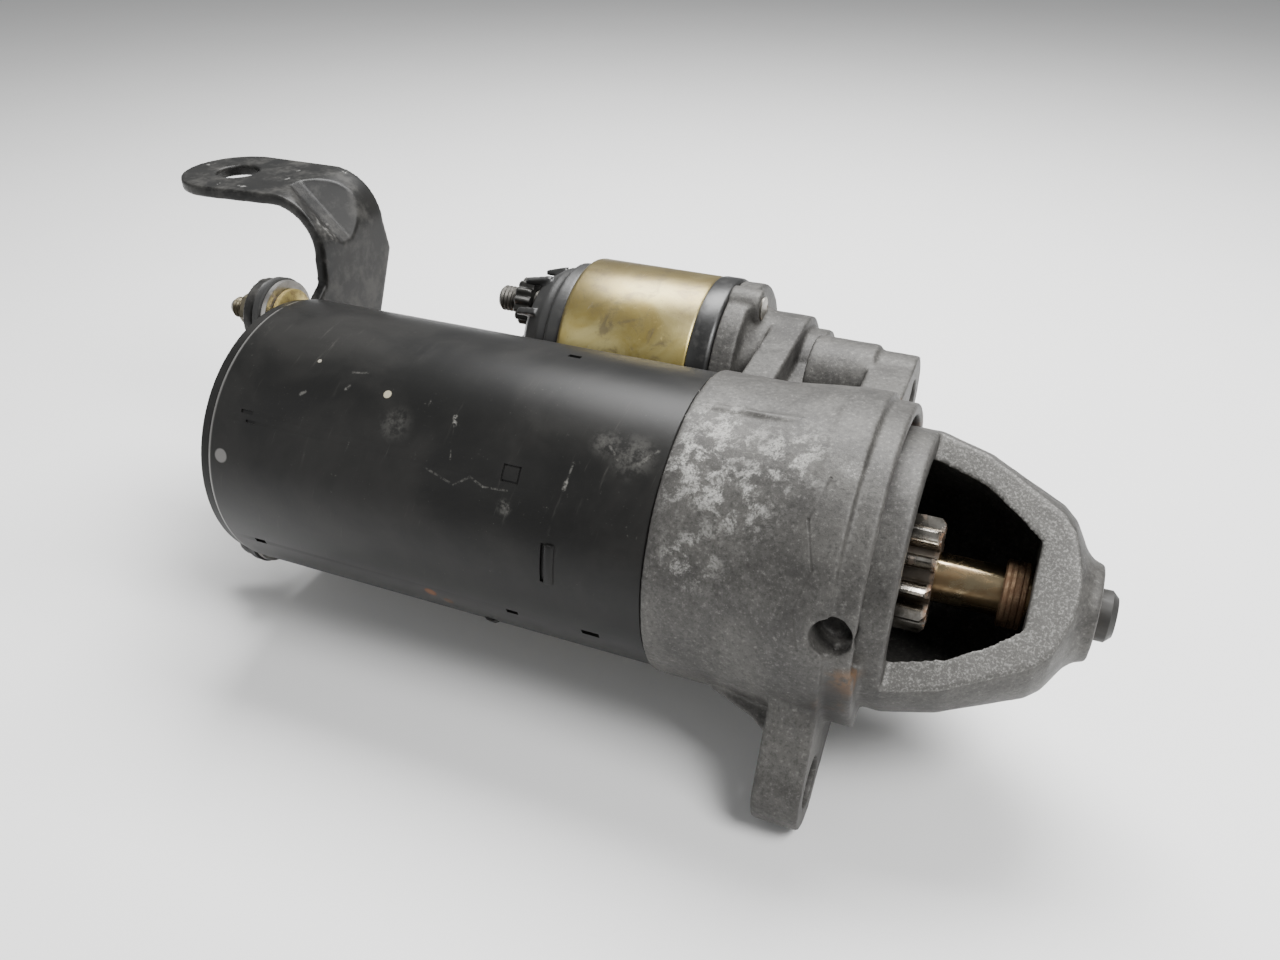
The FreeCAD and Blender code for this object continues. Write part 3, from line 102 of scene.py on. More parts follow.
class Finish:
    # a material under construction; its patterns sit in the piece's own space
    def __init__(self, name):
        self.material = bpy.data.materials.new(name)
        self.material.use_nodes = True
        self.tree = self.material.node_tree
        self.tree.nodes.clear()
        self.place = self.add("ShaderNodeTexCoord", out="Object")

    def add(self, kind, settings=None, inputs=None, out=0):
        node = self.tree.nodes.new(kind)
        for key, value in (settings or {}).items():
            setattr(node, key, value)
        for key, value in (inputs or {}).items():
            if isinstance(value, Wire):
                self.tree.links.new(value.socket, node.inputs[key])
            else:
                node.inputs[key].default_value = value
        return Wire(self, node.outputs[out])

    def maths(self, operation, a, b=0.0):
        return self.add("ShaderNodeMath", {"operation": operation}, {0: a, 1: b})

    def noise(self, size, detail=3.0, rough=0.55, warp=0.0, stretch=None, turn=None):
        # size is the width of the pattern's blobs in millimetres
        place = self.place
        if stretch or turn:
            place = self.add("ShaderNodeMapping", {"vector_type": "TEXTURE"}, {
                "Vector": self.place, "Scale": stretch or (1, 1, 1),
                "Rotation": tuple(math.radians(a) for a in (turn or (0, 0, 0)))})
        return self.add("ShaderNodeTexNoise", None, {
            "Vector": place, "Scale": 1 / (size * mm), "Detail": detail, "Roughness": rough,
            "Distortion": warp}, out="Fac")

    def fade(self, value, low, high):
        # 0 below low, 1 above high, or the other way round when low is the larger
        if low > high:
            return self.add("ShaderNodeMapRange", {"interpolation_type": "SMOOTHSTEP"}, {
                "Value": value, "From Min": high, "From Max": low, "To Min": 1.0, "To Max": 0.0})
        return self.add("ShaderNodeMapRange", {"interpolation_type": "SMOOTHSTEP"}, {
            "Value": value, "From Min": low, "From Max": high})

    def along(self, axis):
        return self.add("ShaderNodeSeparateXYZ", None, {0: self.place}, out=axis)

    def reach(self):
        # distance from the motor axis
        flat = self.add("ShaderNodeVectorMath", {"operation": "MULTIPLY"}, {0: self.place, 1: (0, 1, 1)})
        return self.add("ShaderNodeVectorMath", {"operation": "LENGTH"}, {0: flat}, out="Value")

    def level(self, direction, height, width):
        # 1 on a plane square to the direction, that far from the origin
        run = self.add("ShaderNodeVectorMath", {"operation": "DOT_PRODUCT"}, {
            0: self.place, 1: direction}, out="Value")
        gap = self.maths("ABSOLUTE", run - height * mm)
        return self.fade(gap, width * mm, width * mm * 0.5)

    def spot(self, point, radius, edge=0.5):
        # 1 near a point, 0 beyond the radius in millimetres
        away = self.add("ShaderNodeVectorMath", {"operation": "DISTANCE"}, {
            0: self.place, 1: point}, out="Value")
        return self.fade(away, radius * mm, radius * mm * (1 - edge))

    def stroke(self, a, b, width):
        # 1 along the line from a to b
        span = b - a
        offset = self.add("ShaderNodeVectorMath", {"operation": "SUBTRACT"}, {0: self.place, 1: a})
        run = self.add("ShaderNodeVectorMath", {"operation": "DOT_PRODUCT"}, {
            0: offset, 1: span / span.length_squared}, out="Value")
        run = self.add("ShaderNodeClamp", None, {"Value": run})
        nearest = self.add("ShaderNodeVectorMath", {"operation": "SCALE"}, {0: span, "Scale": run})
        gap = self.add("ShaderNodeVectorMath", {"operation": "DISTANCE"}, {
            0: offset, 1: nearest}, out="Value")
        return self.fade(gap, width * mm, width * mm * 0.3)

    def mix(self, a, b, factor):
        # colours are tuples or wires
        values = {0: factor}
        for index, colour in ((6, a), (7, b)):
            values[index] = colour if isinstance(colour, Wire) else (*colour, 1)
        return self.add("ShaderNodeMix", {"data_type": "RGBA"}, values, out=2)

    def close(self, colour, rough, metal=0.0, height=None, depth=0.1, strength=1.0, **fixed):
        # the surface itself; fixed holds sockets that are the same all over
        inputs = {"Base Color": colour if isinstance(colour, Wire) else (*colour, 1),
                  "Roughness": rough, "Metallic": metal}
        if height is not None:
            inputs["Normal"] = self.add("ShaderNodeBump", None, {
                "Height": height, "Distance": depth * mm, "Strength": strength}, out="Normal")
        for key, value in fixed.items():
            inputs[key.replace("_", " ")] = value
        surface = self.add("ShaderNodeBsdfPrincipled", None, inputs)
        end = self.tree.nodes.new("ShaderNodeOutputMaterial")
        self.tree.links.new(surface.socket, end.inputs["Surface"])
        return self.material


def blackPaint(name, rims=(), marks=()):
    # thin satin paint over steel: dusty, scuffed, worn to bare metal at its rims
    f = Finish(name)
    haze = f.noise(26, 4, 0.6, 0.4)
    speck = f.fade(f.noise(0.7, 2, 0.6), 0.66, 0.78) * f.fade(f.noise(11, 3), 0.42, 0.66)
    scuff = f.fade(f.noise(1.4, 4, 0.7, 0, (1, 14, 14), (0, 12, 0)), 0.60, 0.74)
    scuff = scuff * f.fade(f.noise(13, 2), 0.46, 0.62)
    colour = f.mix((0.0085, 0.0085, 0.0082), (0.017, 0.0165, 0.0155), f.fade(haze, 0.35, 0.7))
    colour = f.mix(colour, (0.085, 0.082, 0.075), speck * 0.45 + scuff * 0.3)
    rough = 0.30 + haze * 0.16 + speck * 0.2
    grain = f.noise(0.45, 3, 0.6) * 0.5 + f.noise(3.5, 3) * 0.5
    height = grain
    for mark, tint, strength in marks:
        mask = mark(f) * strength
        colour = f.mix(colour, tint, mask)
        rough = rough + mask * 0.15
        height = height + mask * 0.6
    worn = None
    for rim in rims:
        mask = rim(f)
        worn = mask if worn is None else worn.larger(mask)
    metal = 0.0
    if worn is not None:
        colour = f.mix(colour, (0.25, 0.245, 0.235), worn)
        metal = worn * 0.5
        height = height - worn * 0.5
    return f.close(colour, rough, metal, height, 0.035, 0.6, Specular_IOR_Level=0.18)


def castAlloy(name, pale=(), rusty=(), dark=(), bright=(), hollowShade=(), lines=()):
    # sand-grey alloy as it left the mould, with pale oxide in patches and some rust washed onto it
    f = Finish(name)
    cloud = f.noise(17, 5, 0.65, 0.5)
    patch = f.noise(4.2, 6, 0.72, 0.3)
    sugar = f.noise(0.55, 3, 0.7)
    colour = f.mix((0.040, 0.038, 0.0355), (0.080, 0.077, 0.071), f.fade(cloud, 0.3, 0.72))
    colour = f.mix(colour, (0.036, 0.034, 0.031), f.fade(f.noise(6.5, 5, 0.7), 0.53, 0.72) * 0.6)
    bloom = 0.05
    for point, radius in pale:
        bloom = bloom + f.spot(point, radius, 0.95)
    bloom = bloom * f.fade(patch, 0.47, 0.60) * f.fade(sugar, 0.28, 0.6)
    colour = f.mix(colour, (0.36, 0.355, 0.335), bloom)
    grit = f.noise(1.0, 4, 0.75)
    colour = f.mix(colour, (0.020, 0.019, 0.018), f.fade(grit, 0.50, 0.36) * 0.5)
    colour = f.mix(colour, (0.19, 0.185, 0.172), f.fade(grit, 0.55, 0.70) * 0.5)
    glitter = f.fade(sugar, 0.62, 0.74) * 0.3
    colour = f.mix(colour, (0.28, 0.275, 0.26), glitter)
    stain = 0.0
    for point, radius in rusty:
        stain = f.spot(point, radius, 0.8) + stain
    if rusty:
        stain = stain * f.fade(f.noise(3.2, 5, 0.7), 0.40, 0.60)
        rust = f.mix((0.13, 0.062, 0.026), (0.24, 0.13, 0.05), f.noise(1.3, 3))
        colour = f.mix(colour, rust, stain * 0.85)
    # painted shade: even dark spots in the concave corner just ahead of the flange, on the near side
    cornerShade = 0.0
    for point, radius in dark:
        cornerShade = f.spot(point, radius, 0.9) + cornerShade
    if dark:
        colour = f.mix(colour, (0.022, 0.021, 0.02), cornerShade * 0.85)
    # painted shade: darkening inside the nose and in the front recess, mottled by the grit noise
    for mask in hollowShade:
        colour = f.mix(colour, (0.030, 0.029, 0.027),
                       mask(f) * (0.12 + f.fade(grit, 0.60, 0.45) * 0.3))
    # lighter bare metal on the window rim, and a painted highlight where the glint spot is passed
    for mask in bright:
        shine = mask(f)
        metal = f.mix((0.095, 0.092, 0.086), (0.26, 0.255, 0.24), f.fade(sugar, 0.46, 0.68))
        colour = f.mix(colour, metal, shine * 0.75)
    height = f.noise(0.8, 4, 0.65) * 0.6 + f.noise(0.28, 2) * 0.25 + patch * 0.35
    for a, b, width in lines:
        crack = f.stroke(a, b, width)
        colour = f.mix(colour, (0.035, 0.033, 0.03), crack * 0.8)
        height = height - crack
    rough = 0.50 + cloud * 0.14 + bloom * 0.2
    return f.close(colour, rough, 0.35, height, 0.13, 0.85)


def zincGold(name, darkTopAndRear=False):
    # yellow-passivated zinc gone olive and brown, speckled with corrosion
    f = Finish(name)
    wash = f.noise(15, 4, 0.6, 0.8)
    speck = f.fade(f.noise(0.75, 3, 0.7), 0.60, 0.70)
    heavy = f.fade(f.noise(9, 3, 0.6), 0.40, 0.66)
    colour = f.mix((0.36, 0.28, 0.085), (0.50, 0.43, 0.19), f.fade(wash, 0.35, 0.68))
    colour = f.mix(colour, (0.20, 0.165, 0.10), f.fade(f.noise(7, 5, 0.7, 0.6), 0.5, 0.68) * 0.75)
    colour = f.mix(colour, (0.10, 0.075, 0.04), speck * heavy * 0.75)
    rub = f.fade(f.noise(1.1, 4, 0.7, 0, (1, 10, 10), (0, 24, 0)), 0.63, 0.72)
    rub = rub * f.fade(f.noise(12, 2), 0.5, 0.62)
    colour = f.mix(colour, (0.60, 0.585, 0.54), rub * 0.6)
    if darkTopAndRear:
        # darker and browner towards the top and at the rear rim
        top = f.fade(f.along("Z") + f.noise(14, 3) * 0.014, 30 * mm, 43 * mm)
        ends = f.fade(f.along("X") + f.noise(4, 4) * 0.004, -97 * mm, -101 * mm)
        colour = f.mix(colour, (0.13, 0.105, 0.06), (top * 0.7).larger(ends * 0.75))
    rough = 0.27 + wash * 0.12 + speck * 0.25
    height = f.noise(0.5, 3) * 0.5 - speck * 0.4
    return f.close(colour, rough, 0.82, height, 0.03, 0.55)


def rubberBlack(name, tone=0.010, rough=0.44):
    f = Finish(name)
    dust = f.fade(f.noise(5, 5, 0.7), 0.52, 0.75)
    colour = f.mix((tone, tone, tone * 0.97), (0.040, 0.038, 0.034), dust * 0.5)
    height = f.noise(0.9, 4, 0.6) + f.noise(6, 2) * 0.6
    return f.close(colour, rough + dust * 0.22, 0.0, height, 0.045, 0.6)


def steelWorn(name, base=(0.50, 0.485, 0.46), rust=0.35, rough=0.22, tint=(0.17, 0.082, 0.035),
              turned=False):
    # bright worked steel, stained brown where nothing rubs it
    f = Finish(name)
    blotch = f.fade(f.noise(3.6, 5, 0.7, 0.5), 0.62 - 0.25 * rust, 0.80 - 0.25 * rust)
    fine = f.noise(0.5, 3, 0.7)
    colour = f.mix(base, tuple(c * 0.55 for c in base), f.fade(f.noise(7, 4), 0.35, 0.7))
    colour = f.mix(colour, tint, blotch * (0.4 + fine * 0.6))
    lines = f.noise(0.35, 2, 0.5, 0, (1, 40, 40) if turned else (30, 1, 1))
    height = lines * 0.5 + blotch * fine * 0.7
    return f.close(colour, rough + blotch * 0.4 + fine * 0.08, 1.0 - blotch * 0.6, height, 0.02, 0.5)


def copperBare(name, base=(0.60, 0.30, 0.16)):
    f = Finish(name)
    tarnish = f.fade(f.noise(4, 5, 0.7), 0.42, 0.7)
    colour = f.mix(base, (0.20, 0.10, 0.055), tarnish * 0.8)
    return f.close(colour, 0.30 + tarnish * 0.3, 0.9, f.noise(0.5, 3), 0.02, 0.5)


def plainGrain(name, colour, rough=0.6, metal=0.0, size=1.2, depth=0.05):
    # for pieces inside: one tone, mottled, with its own grain
    f = Finish(name)
    mottle = f.noise(size * 4, 4, 0.65)
    shade = f.mix(colour, tuple(c * 0.5 for c in colour), f.fade(mottle, 0.4, 0.7))
    return f.close(shade, rough + mottle * 0.12, metal, f.noise(size, 4, 0.6), depth, 0.6)


def give(material, *names):
    # CAD pieces that keep their shape get their finish here
    for name in names:
        slots = nodes[name].material_slots
        if not slots:
            nodes[name].data.materials.append(material)
        for slot in slots:
            slot.link = "OBJECT"
            slot.material = material


def finishPiece(name, mesh, material, body, replaced=(), smooth=40):
    piece = bpy.data.objects.new(name, mesh)
    bpy.context.collection.objects.link(piece)
    mesh.materials.clear()
    mesh.materials.append(material)
    if smooth:
        mesh.shade_smooth()
    if 0 < smooth < 180:
        mesh.set_sharp_from_angle(angle=math.radians(smooth))
    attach(piece, body)
    if replaced:
        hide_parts(*replaced)
    return piece


def meshOf(name, shape):
    mesh = bpy.data.meshes.new(name)
    bmesh.ops.recalc_face_normals(shape, faces=shape.faces)
    shape.to_mesh(mesh)
    shape.free()
    mesh.update()
    return mesh


def lathe(shape, outline, y=0.0, z=0.0, segments=128, start=0.0, sweep=360.0):
    # turn a closed (x, radius) outline in millimetres about an axis parallel to X;
    # the outline may be a function of the angle
    full = abs(sweep - 360) < 1e-6
    rings = []
    count = segments if full else segments + 1
    for index in range(count):
        angle = start + sweep * index / segments
        corners = outline(angle) if callable(outline) else outline
        rings.append([shape.verts.new(around(x, radius, angle, y, z)) for x, radius in corners])
    size = len(rings[0])
    for index in range(segments):
        here, there = rings[index], rings[(index + 1) % count]
        for step in range(size):
            after = (step + 1) % size
            corners = []
            for vertex in (here[step], here[after], there[after], there[step]):
                if all((vertex.co - other.co).length > 1e-9 for other in corners):
                    corners.append(vertex)
            if len(corners) > 2:
                shape.faces.new(corners)
    if not full:
        shape.faces.new(rings[0])
        shape.faces.new(rings[-1][::-1])


def prism(shape, corners, offset):
    # a flat outline of points, carried along an offset
    low = [shape.verts.new(c) for c in corners]
    high = [shape.verts.new(c + offset) for c in corners]
    shape.faces.new(low)
    shape.faces.new(high[::-1])
    for index in range(len(corners)):
        after = (index + 1) % len(corners)
        shape.faces.new((low[index], high[index], high[after], low[after]))


def fromNode(node):
    # the CAD node's own surface as one closed bmesh
    shape = bmesh.new()
    shape.from_mesh(nodes[node].data)
    bmesh.ops.remove_doubles(shape, verts=shape.verts, dist=1e-6)
    return shape


def settled(name, mesh, *modifiers):
    # run modifiers on a mesh and return the result
    holder = bpy.data.objects.new(name, mesh)
    bpy.context.collection.objects.link(holder)
    for kind, settings in modifiers:
        modifier = holder.modifiers.new(kind, kind)
        for key, value in settings.items():
            setattr(modifier, key, value)
    result = bpy.data.meshes.new_from_object(holder.evaluated_get(bpy.context.evaluated_depsgraph_get()))
    bpy.data.objects.remove(holder)
    result.name = name
    return result


def fused(name, shape, voxel, smoothing):
    # one skin over all overlapping lumps, its corners softened
    return settled(name, meshOf(name, shape), ("REMESH", {"mode": "VOXEL", "voxel_size": voxel * mm}),
                   ("SMOOTH", {"factor": 0.5, "iterations": smoothing}))


def carved(name, mesh, cutters):
    holder = bpy.data.objects.new(name + "Cutters", cutters)
    bpy.context.collection.objects.link(holder)
    result = settled(name, mesh, ("BOOLEAN", {"operation": "DIFFERENCE", "object": holder, "solver": "EXACT"}))
    bpy.data.objects.remove(holder)
    return result


def readPoints(mesh, attribute="co"):
    values = np.empty(len(mesh.vertices) * 3, np.float32)
    mesh.vertices.foreach_get(attribute, values)
    return values.reshape(-1, 3)


def threadOutline(start, end, radius, pitch, depth):
    # rod with ridges, as (x, radius) points from its rear end to its front end
    outline = [(start, 0.0), (start, radius - depth - 0.3)]
    x = start + 0.3
    while x + pitch < end:
        outline += [(x, radius - depth), (x + pitch * 0.45, radius), (x + pitch * 0.55, radius)]
        x += pitch
    outline += [(x, radius - depth), (end, radius - depth), (end, 0.0)]
    return outline


yoke = {
    "rear": motor["rear"], "front": -42.5, "radius": 38.0, "wall": 3.0,
    "slots": [(-154.6, -159, 3.4, 1.6), (-78.1, -158, 3.2, 1.5), (-56.8, -158, 4.6, 1.8),
              (-77.9, 83, 3.4, 1.6)],
    "dents": [(-154.6, 142, 3.6, 0.9), (-152.8, 145.5, 3.0, 0.7)],
    "frame": (-78.4, 142.4, 4.2, 5.6), "tab": (-65.9, 171.6, 2.6, 15.5)}


def patch(shape, x, angle, length, width, low, high, turns=6):
    # a curved block that lies on the yoke, width measured in degrees
    lathe(shape, [(x - length / 2, low), (x - length / 2, high), (x + length / 2, high), (x + length / 2, low)],
          segments=turns, start=angle - width / 2, sweep=width)


def makeYoke():
    y = yoke
    rim = 1.1
    shape = bmesh.new()
    lathe(shape, [
        (y["rear"], y["radius"] - y["wall"]), (y["rear"], y["radius"] - rim),
        (y["rear"] + 0.25, y["radius"] - rim * 0.5),
        (y["rear"] + 0.7, y["radius"] - 0.15), (y["rear"] + 1.4, y["radius"]), (y["front"] - 0.5, y["radius"]),
        (y["front"], y["radius"] - 0.4), (y["front"], y["radius"] - y["wall"])], segments=256)
    shell = meshOf("yokeShell", shape)
    cuts = bmesh.new()
    for x, angle, length, width in y["slots"]:
        patch(cuts, x, angle, length, width / y["radius"] * 57.3, y["radius"] - 1.1, y["radius"] + 1)
    for x, angle, length, width in y["dents"]:
        patch(cuts, x, angle, length, width / y["radius"] * 57.3, y["radius"] - 0.35, y["radius"] + 1)
    # shallow groove round a small rectangle
    x, angle, length, width = y["frame"]
    for side in (-1, 1):
        patch(cuts, x + side * length / 2, angle, 0.45, width + 0.7, y["radius"] - 0.3,
              y["radius"] + 1)
        patch(cuts, x, angle + side * width / 2, length - 0.5, 0.65, y["radius"] - 0.3,
              y["radius"] + 1)
    # shallow groove behind the lifted tab
    x, angle, length, width = y["tab"]
    patch(cuts, x - length / 2 - 0.5, angle, 0.9, width, y["radius"] - 0.7, y["radius"] + 1, 12)
    prism(cuts, [Vector((motor["rear"] - 1, 25, -3)) * mm, Vector((motor["rear"] + 7.4, 25, -3)) * mm,
                 Vector((motor["rear"] + 7.4, 45, -3)) * mm, Vector((motor["rear"] - 1, 45, -3)) * mm],
          Vector((0, 0, 12)) * mm)
    shell = carved("yokeShell", shell, meshOf("cuts", cuts))

    def rearRim(f):
        edge = f.fade(f.along("X"), -163.9 * mm, -164.9 * mm)
        return edge * f.fade(f.noise(3.5, 4, 0.6) + f.along("Y") * -9, 0.40, 0.56)

    def frontRim(f):
        return f.fade(f.along("X"), -43.2 * mm, -42.7 * mm) * f.fade(f.noise(2.5, 4), 0.62, 0.7)

    pale = (0.20, 0.195, 0.18)
    marks = []
    strokes = [
        ((-105.0, 122.4), (-104.1, 145.1), 0.35, 0.30), ((-96.6, 127.8), (-94.7, 142.2), 0.32, 0.45),
        ((-96.9, 126.5), (-96.3, 129.5), 0.8, 0.9), ((-101, 147.1), (-92.4, 150.9), 0.4, 0.35),
        ((-92.4, 150.9), (-88.6, 146.7), 0.4, 0.40), ((-88.6, 146.7), (-84.7, 149.1), 0.4, 0.40),
        ((-84.7, 149.1), (-78.4, 148.5), 0.35, 0.35), ((-63.9, 133.6), (-64.5, 143.3), 0.4, 0.45),
        ((-64.4, 141.0), (-64.6, 143.4), 0.7, 0.8), ((-56.8, 125.1), (-53.3, 130.1), 0.45, 0.35),
        ((-48.7, 129.2), (-45.3, 123.1), 0.7, 0.35), ((-140.7, 130.7), (-139.8, 129.4), 0.7, 0.45),
        ((-128.7, 125.0), (-128.4, 123.3), 0.7, 0.45), ((-129.4, 117.6), (-125.0, 116.4), 0.4, 0.3)]
    for (xa, ta), (xb, tb), width, strength in strokes:
        a, b = around(xa, y["radius"], ta), around(xb, y["radius"], tb)
        marks.append((lambda f, a=a, b=b, w=width:
                      f.stroke(a, b, w) * f.fade(f.noise(0.9, 4, 0.7), 0.40, 0.62), pale, strength * 0.75))
    spots = [((-117.0, 123.5), 1.2, (0.33, 0.30, 0.22), 0.9), ((-140.1, 115.5), 0.6, (0.30, 0.28, 0.23), 0.8),
             ((-160.8, 161.2), 2.1, (0.16, 0.155, 0.15), 1.0), ((-102.1, -155.5), 1.9, (0.13, 0.055, 0.025), 0.9),
             ((-97.8, -151.3), 1.6, (0.09, 0.05, 0.03), 0.8)]
    for (x, angle), radius, tint, strength in spots:
        marks.append((lambda f, c=around(x, y["radius"], angle), r=radius: f.spot(c, r, 0.25), tint, strength))
    blooms = [((-78.5, 154.4), 2.6, 0.5), ((-50.5, 127), 7.5, 0.22), ((-112, 134), 6, 0.16),
              ((-58, 124), 5, 0.2)]
    for (x, angle), radius, strength in blooms:
        marks.append((lambda f, c=around(x, y["radius"], angle), r=radius:
                      f.spot(c, r, 0.9) * f.fade(f.noise(2.6, 5, 0.7), 0.4, 0.62), pale, strength))
    paint = blackPaint("yokePaint", [rearRim, frontRim], marks)
    finishPiece("yokeShell", shell, paint, "casing", ("yoke",), 32)

    raised = bmesh.new()
    x, angle, length, width = y["tab"]
    lathe(raised, [(x - length / 2, y["radius"] - 0.6), (x - length / 2, y["radius"] + 0.25),
                   (x - length / 2 + 0.6, y["radius"] + 0.75), (x + length / 2 - 0.8, y["radius"] + 0.75),
                   (x + length / 2, y["radius"] + 0.2), (x + length / 2, y["radius"] - 0.6)],
          segments=14, start=angle - width / 2, sweep=width)
    lathe(raised, [(-90.0, 37.4), (-90.0, 38.1), (-89.0, 38.7), (-87.6, 38.7), (-86.6, 38.1), (-86.6, 37.4)],
          segments=6, start=-141, sweep=4.4)
    tabMesh = settled("yokeTabs", meshOf("yokeTabs", raised), ("BEVEL", {"width": 0.18 * mm, "segments": 2}))
    finishPiece("yokeTabs", tabMesh, blackPaint("yokeTabPaint"), "casing", (), 32)
    print("yoke: shell with", len(shell.vertices), "points")


makeYoke()


def sealed(shape):
    # join the doubled points that a turned outline leaves on its axis
    bmesh.ops.remove_doubles(shape, verts=shape.verts, dist=1e-7)
    bmesh.ops.dissolve_degenerate(shape, edges=shape.edges, dist=1e-8)
    return shape


def turned(name, outline, material, body, replaced=(), slotName=None, centres=((0, 0),), segments=96, smooth=35):
    # one or more copies of a turned outline, as one piece
    shape = bmesh.new()
    for y, z in centres:
        lathe(shape, outline, y, z, segments)
    return finishPiece(name, meshOf(name, sealed(shape)), material, body, replaced, smooth)


def hexNut(start, end, flat, bore):
    # outline of a hexagon nut with chamfered corners
    def outline(angle):
        radius = flat / math.cos(math.radians((angle % 60) - 30))
        capped = min(radius, flat * 1.03)
        drop = (radius - capped) * 0.6
        return [(start, bore), (start, capped), (start + drop, radius), (end - drop, radius), (end, capped),
                (end, bore)]
    return outline


casting = {
    "voxel": 0.55, "smoothing": 9, "window": (133.0, 15.0),
    "pale": [((-33, 112), 14), ((-36, 128), 13), ((-16, 118), 13), ((-32, 156), 10), ((-24, 135), 12)],
    "rusty": [((6, 39, 30), 7), ((3, 39, 44), 6), ((5, 38, -172), 6), ((2, 39, -160), 5)],
    # dark: spots of painted shade in the corner just ahead of the flange
    "dark": [((1, 40, 170), 5), ((3, 38, -168), 8), ((1, 40, -158), 7), ((4, 38, -146), 7)],
    "crack": [(-6.0, 122), (-8.2, 136), (-5.2, 150), (-7.6, 163), (-5.6, 176)]}


def makeCasting():
    c = casting
    shape = fromNode("drive_end_housing")
    # rounded root where the solenoid's tower meets its flange
    lathe(shape, [(-49.5, 12), (-49.5, 24.2), (-48.0, 22.0), (-46.0, 20.4), (-43.0, 19.5), (-43.0, 12)],
          solenoidY, solenoidZ, 72, 75, 210)
    # rounded root behind the mounting flange
    lathe(shape, [(-20, 37), (-20, 39.3), (-12, 39.9), (-7.5, 41.2), (-7.5, 37)], segments=90, start=30, sweep=170)
    # lugs round the two solenoid screws
    for side in (-1, 1):
        turn = solenoid["tilt"] + 90 * side
        y = solenoidY + 22.9 * math.cos(math.radians(turn))
        z = solenoidZ + 22.9 * math.sin(math.radians(turn))
        lathe(shape, [(-55.2, 2.4), (-55.2, 5.4), (-46.4, 5.2), (-45.9, 4.6), (-45.9, 2.4)], y, z, 40)
    # stiffening rib inside the nose, opposite the window
    turn = math.radians(c["window"][0] + 75)
    side = Vector((0, math.cos(turn), math.sin(turn)))
    cross = Vector((1, 0, 0)).cross(side)
    outline = [(14, 26), (14, 29), (38, 20), (38, 15.5)]
    prism(shape, [(Vector((x, 0, 0)) + side * reach - cross * 1.6) * mm for x, reach in outline],
          cross * 3.2 * mm)
    # raised parting line on the outside of the barrel
    lathe(shape, [(-42, 38), (-42, 39.25), (-16, 40.3), (-16, 38)], segments=3, start=100.2, sweep=1.6)
    skin = fused("casting", shape, c["voxel"], c["smoothing"])
    points, normals = readPoints(skin), readPoints(skin, "normal")
    # slow unevenness of a sand-cast skin, within a tenth of a millimetre
    for index in range(len(points)):
        points[index] += normals[index] * 0.09 * mm * noise.noise(Vector(points[index]) / (4.0 * mm))
    skin.vertices.foreach_set("co", points.ravel())
    skin.update()

    facing = math.radians(c["window"][0])
    direction = (0, math.cos(facing), math.sin(facing))

    def windowRim(f):
        return f.level(direction, c["window"][1], 0.8) * f.fade(f.along("X"), 11.5 * mm, 12.5 * mm)

    # a painted highlight on the upper front of the barrel
    def glint(f):
        return f.spot(around(-2, 41, 118), 3.5, 0.8)

    # painted shade on the inside of the nose
    def inside(f):
        slope = f.reach() + f.along("X") * 0.467
        return f.fade(slope, 37.4 * mm, 36.4 * mm) * f.fade(f.along("X"), 7 * mm, 9 * mm) * \
            f.fade(f.along("X"), 40 * mm, 39 * mm)

    # painted shade in the recess between the spigot ring and the neck
    def groove(f):
        ring = f.fade(f.reach(), 36.9 * mm, 36.2 * mm) * f.fade(f.reach(), 33.2 * mm, 33.9 * mm)
        return ring * f.fade(f.along("X"), 0.6 * mm, 1.2 * mm) * f.fade(f.along("X"), 6.2 * mm, 4.0 * mm)

    lines = []
    for first, second in zip(c["crack"], c["crack"][1:]):
        lines.append((around(first[0], 40.9, first[1]), around(second[0], 40.9, second[1]), 0.55))
    finish = castAlloy("castSkin", [(around(x, 39.5, a), r) for (x, a), r in c["pale"]],
                       [(around(*p), r) for p, r in c["rusty"]], [(around(*p), r) for p, r in c["dark"]],
                       (windowRim, glint), (inside, groove), lines)
    finishPiece("casting", skin, finish, "casing", ("drive_end_housing",), 180)
    print("casting:", len(skin.vertices), "points")


bracket = {"voxel": 0.6, "corner": (-176.0, 56.0), "bend": 16.0, "dent": (47.0, 11.0, 5.0)}


def makeBracket():
    b = bracket
    skin = fused("bracket", fromNode("rear_bracket"), b["voxel"], 2)
    cornerX, cornerZ = b["corner"]
    middle, half, depth = b["dent"]
    points = readPoints(skin) / mm
    centreX, centreZ = cornerX - b["bend"], cornerZ - b["bend"]
    # stamped gusset: the bend is pressed in along a triangle
    for point in points:
        x, y, z = point
        share = 1 - abs(y - middle) / half
        if share <= 0 or z < 15:
            continue
        if z < centreZ:
            below = cornerX - x
        elif x < centreX:
            below = cornerZ - z
        else:
            below = b["bend"] - math.hypot(x - centreX, z - centreZ)
        across = ((x - cornerX) + (z - cornerZ)) / math.sqrt(2)
        push = across + 6.63 + depth * min(1, share * 1.3) + below
        if push > 0:
            point[0] -= push / math.sqrt(2)
            point[2] -= push / math.sqrt(2)
    skin.vertices.foreach_set("co", (points * mm).ravel())
    skin = settled("bracket", skin, ("SMOOTH", {"factor": 0.5, "iterations": 3}))

    def edges(f):
        return f.fade(f.noise(5, 4, 0.65), 0.63, 0.70) * f.level((0, 0, 1), 55.4, 1.0)

    def scrape(f):
        return f.spot(Vector((-179, 42, 46)) * mm, 7, 0.8) * f.fade(f.noise(2.4, 5, 0.7), 0.5, 0.62)

    def dusty(f):
        return f.fade(f.noise(9, 5, 0.7), 0.45, 0.68)

    finish = blackPaint("bracketPaint", [edges], [(scrape, (0.28, 0.27, 0.25), 0.5),
                                                  (dusty, (0.085, 0.082, 0.076), 0.4)])
    finishPiece("bracket", skin, finish, "casing", ("rear_bracket",), 180)
    print("bracket:", len(skin.vertices), "points")


solenoidShape = {"canRear": -102.2, "canFront": -62.0, "radius": 26.8, "mount": -55.2, "capEnd": -118.5}


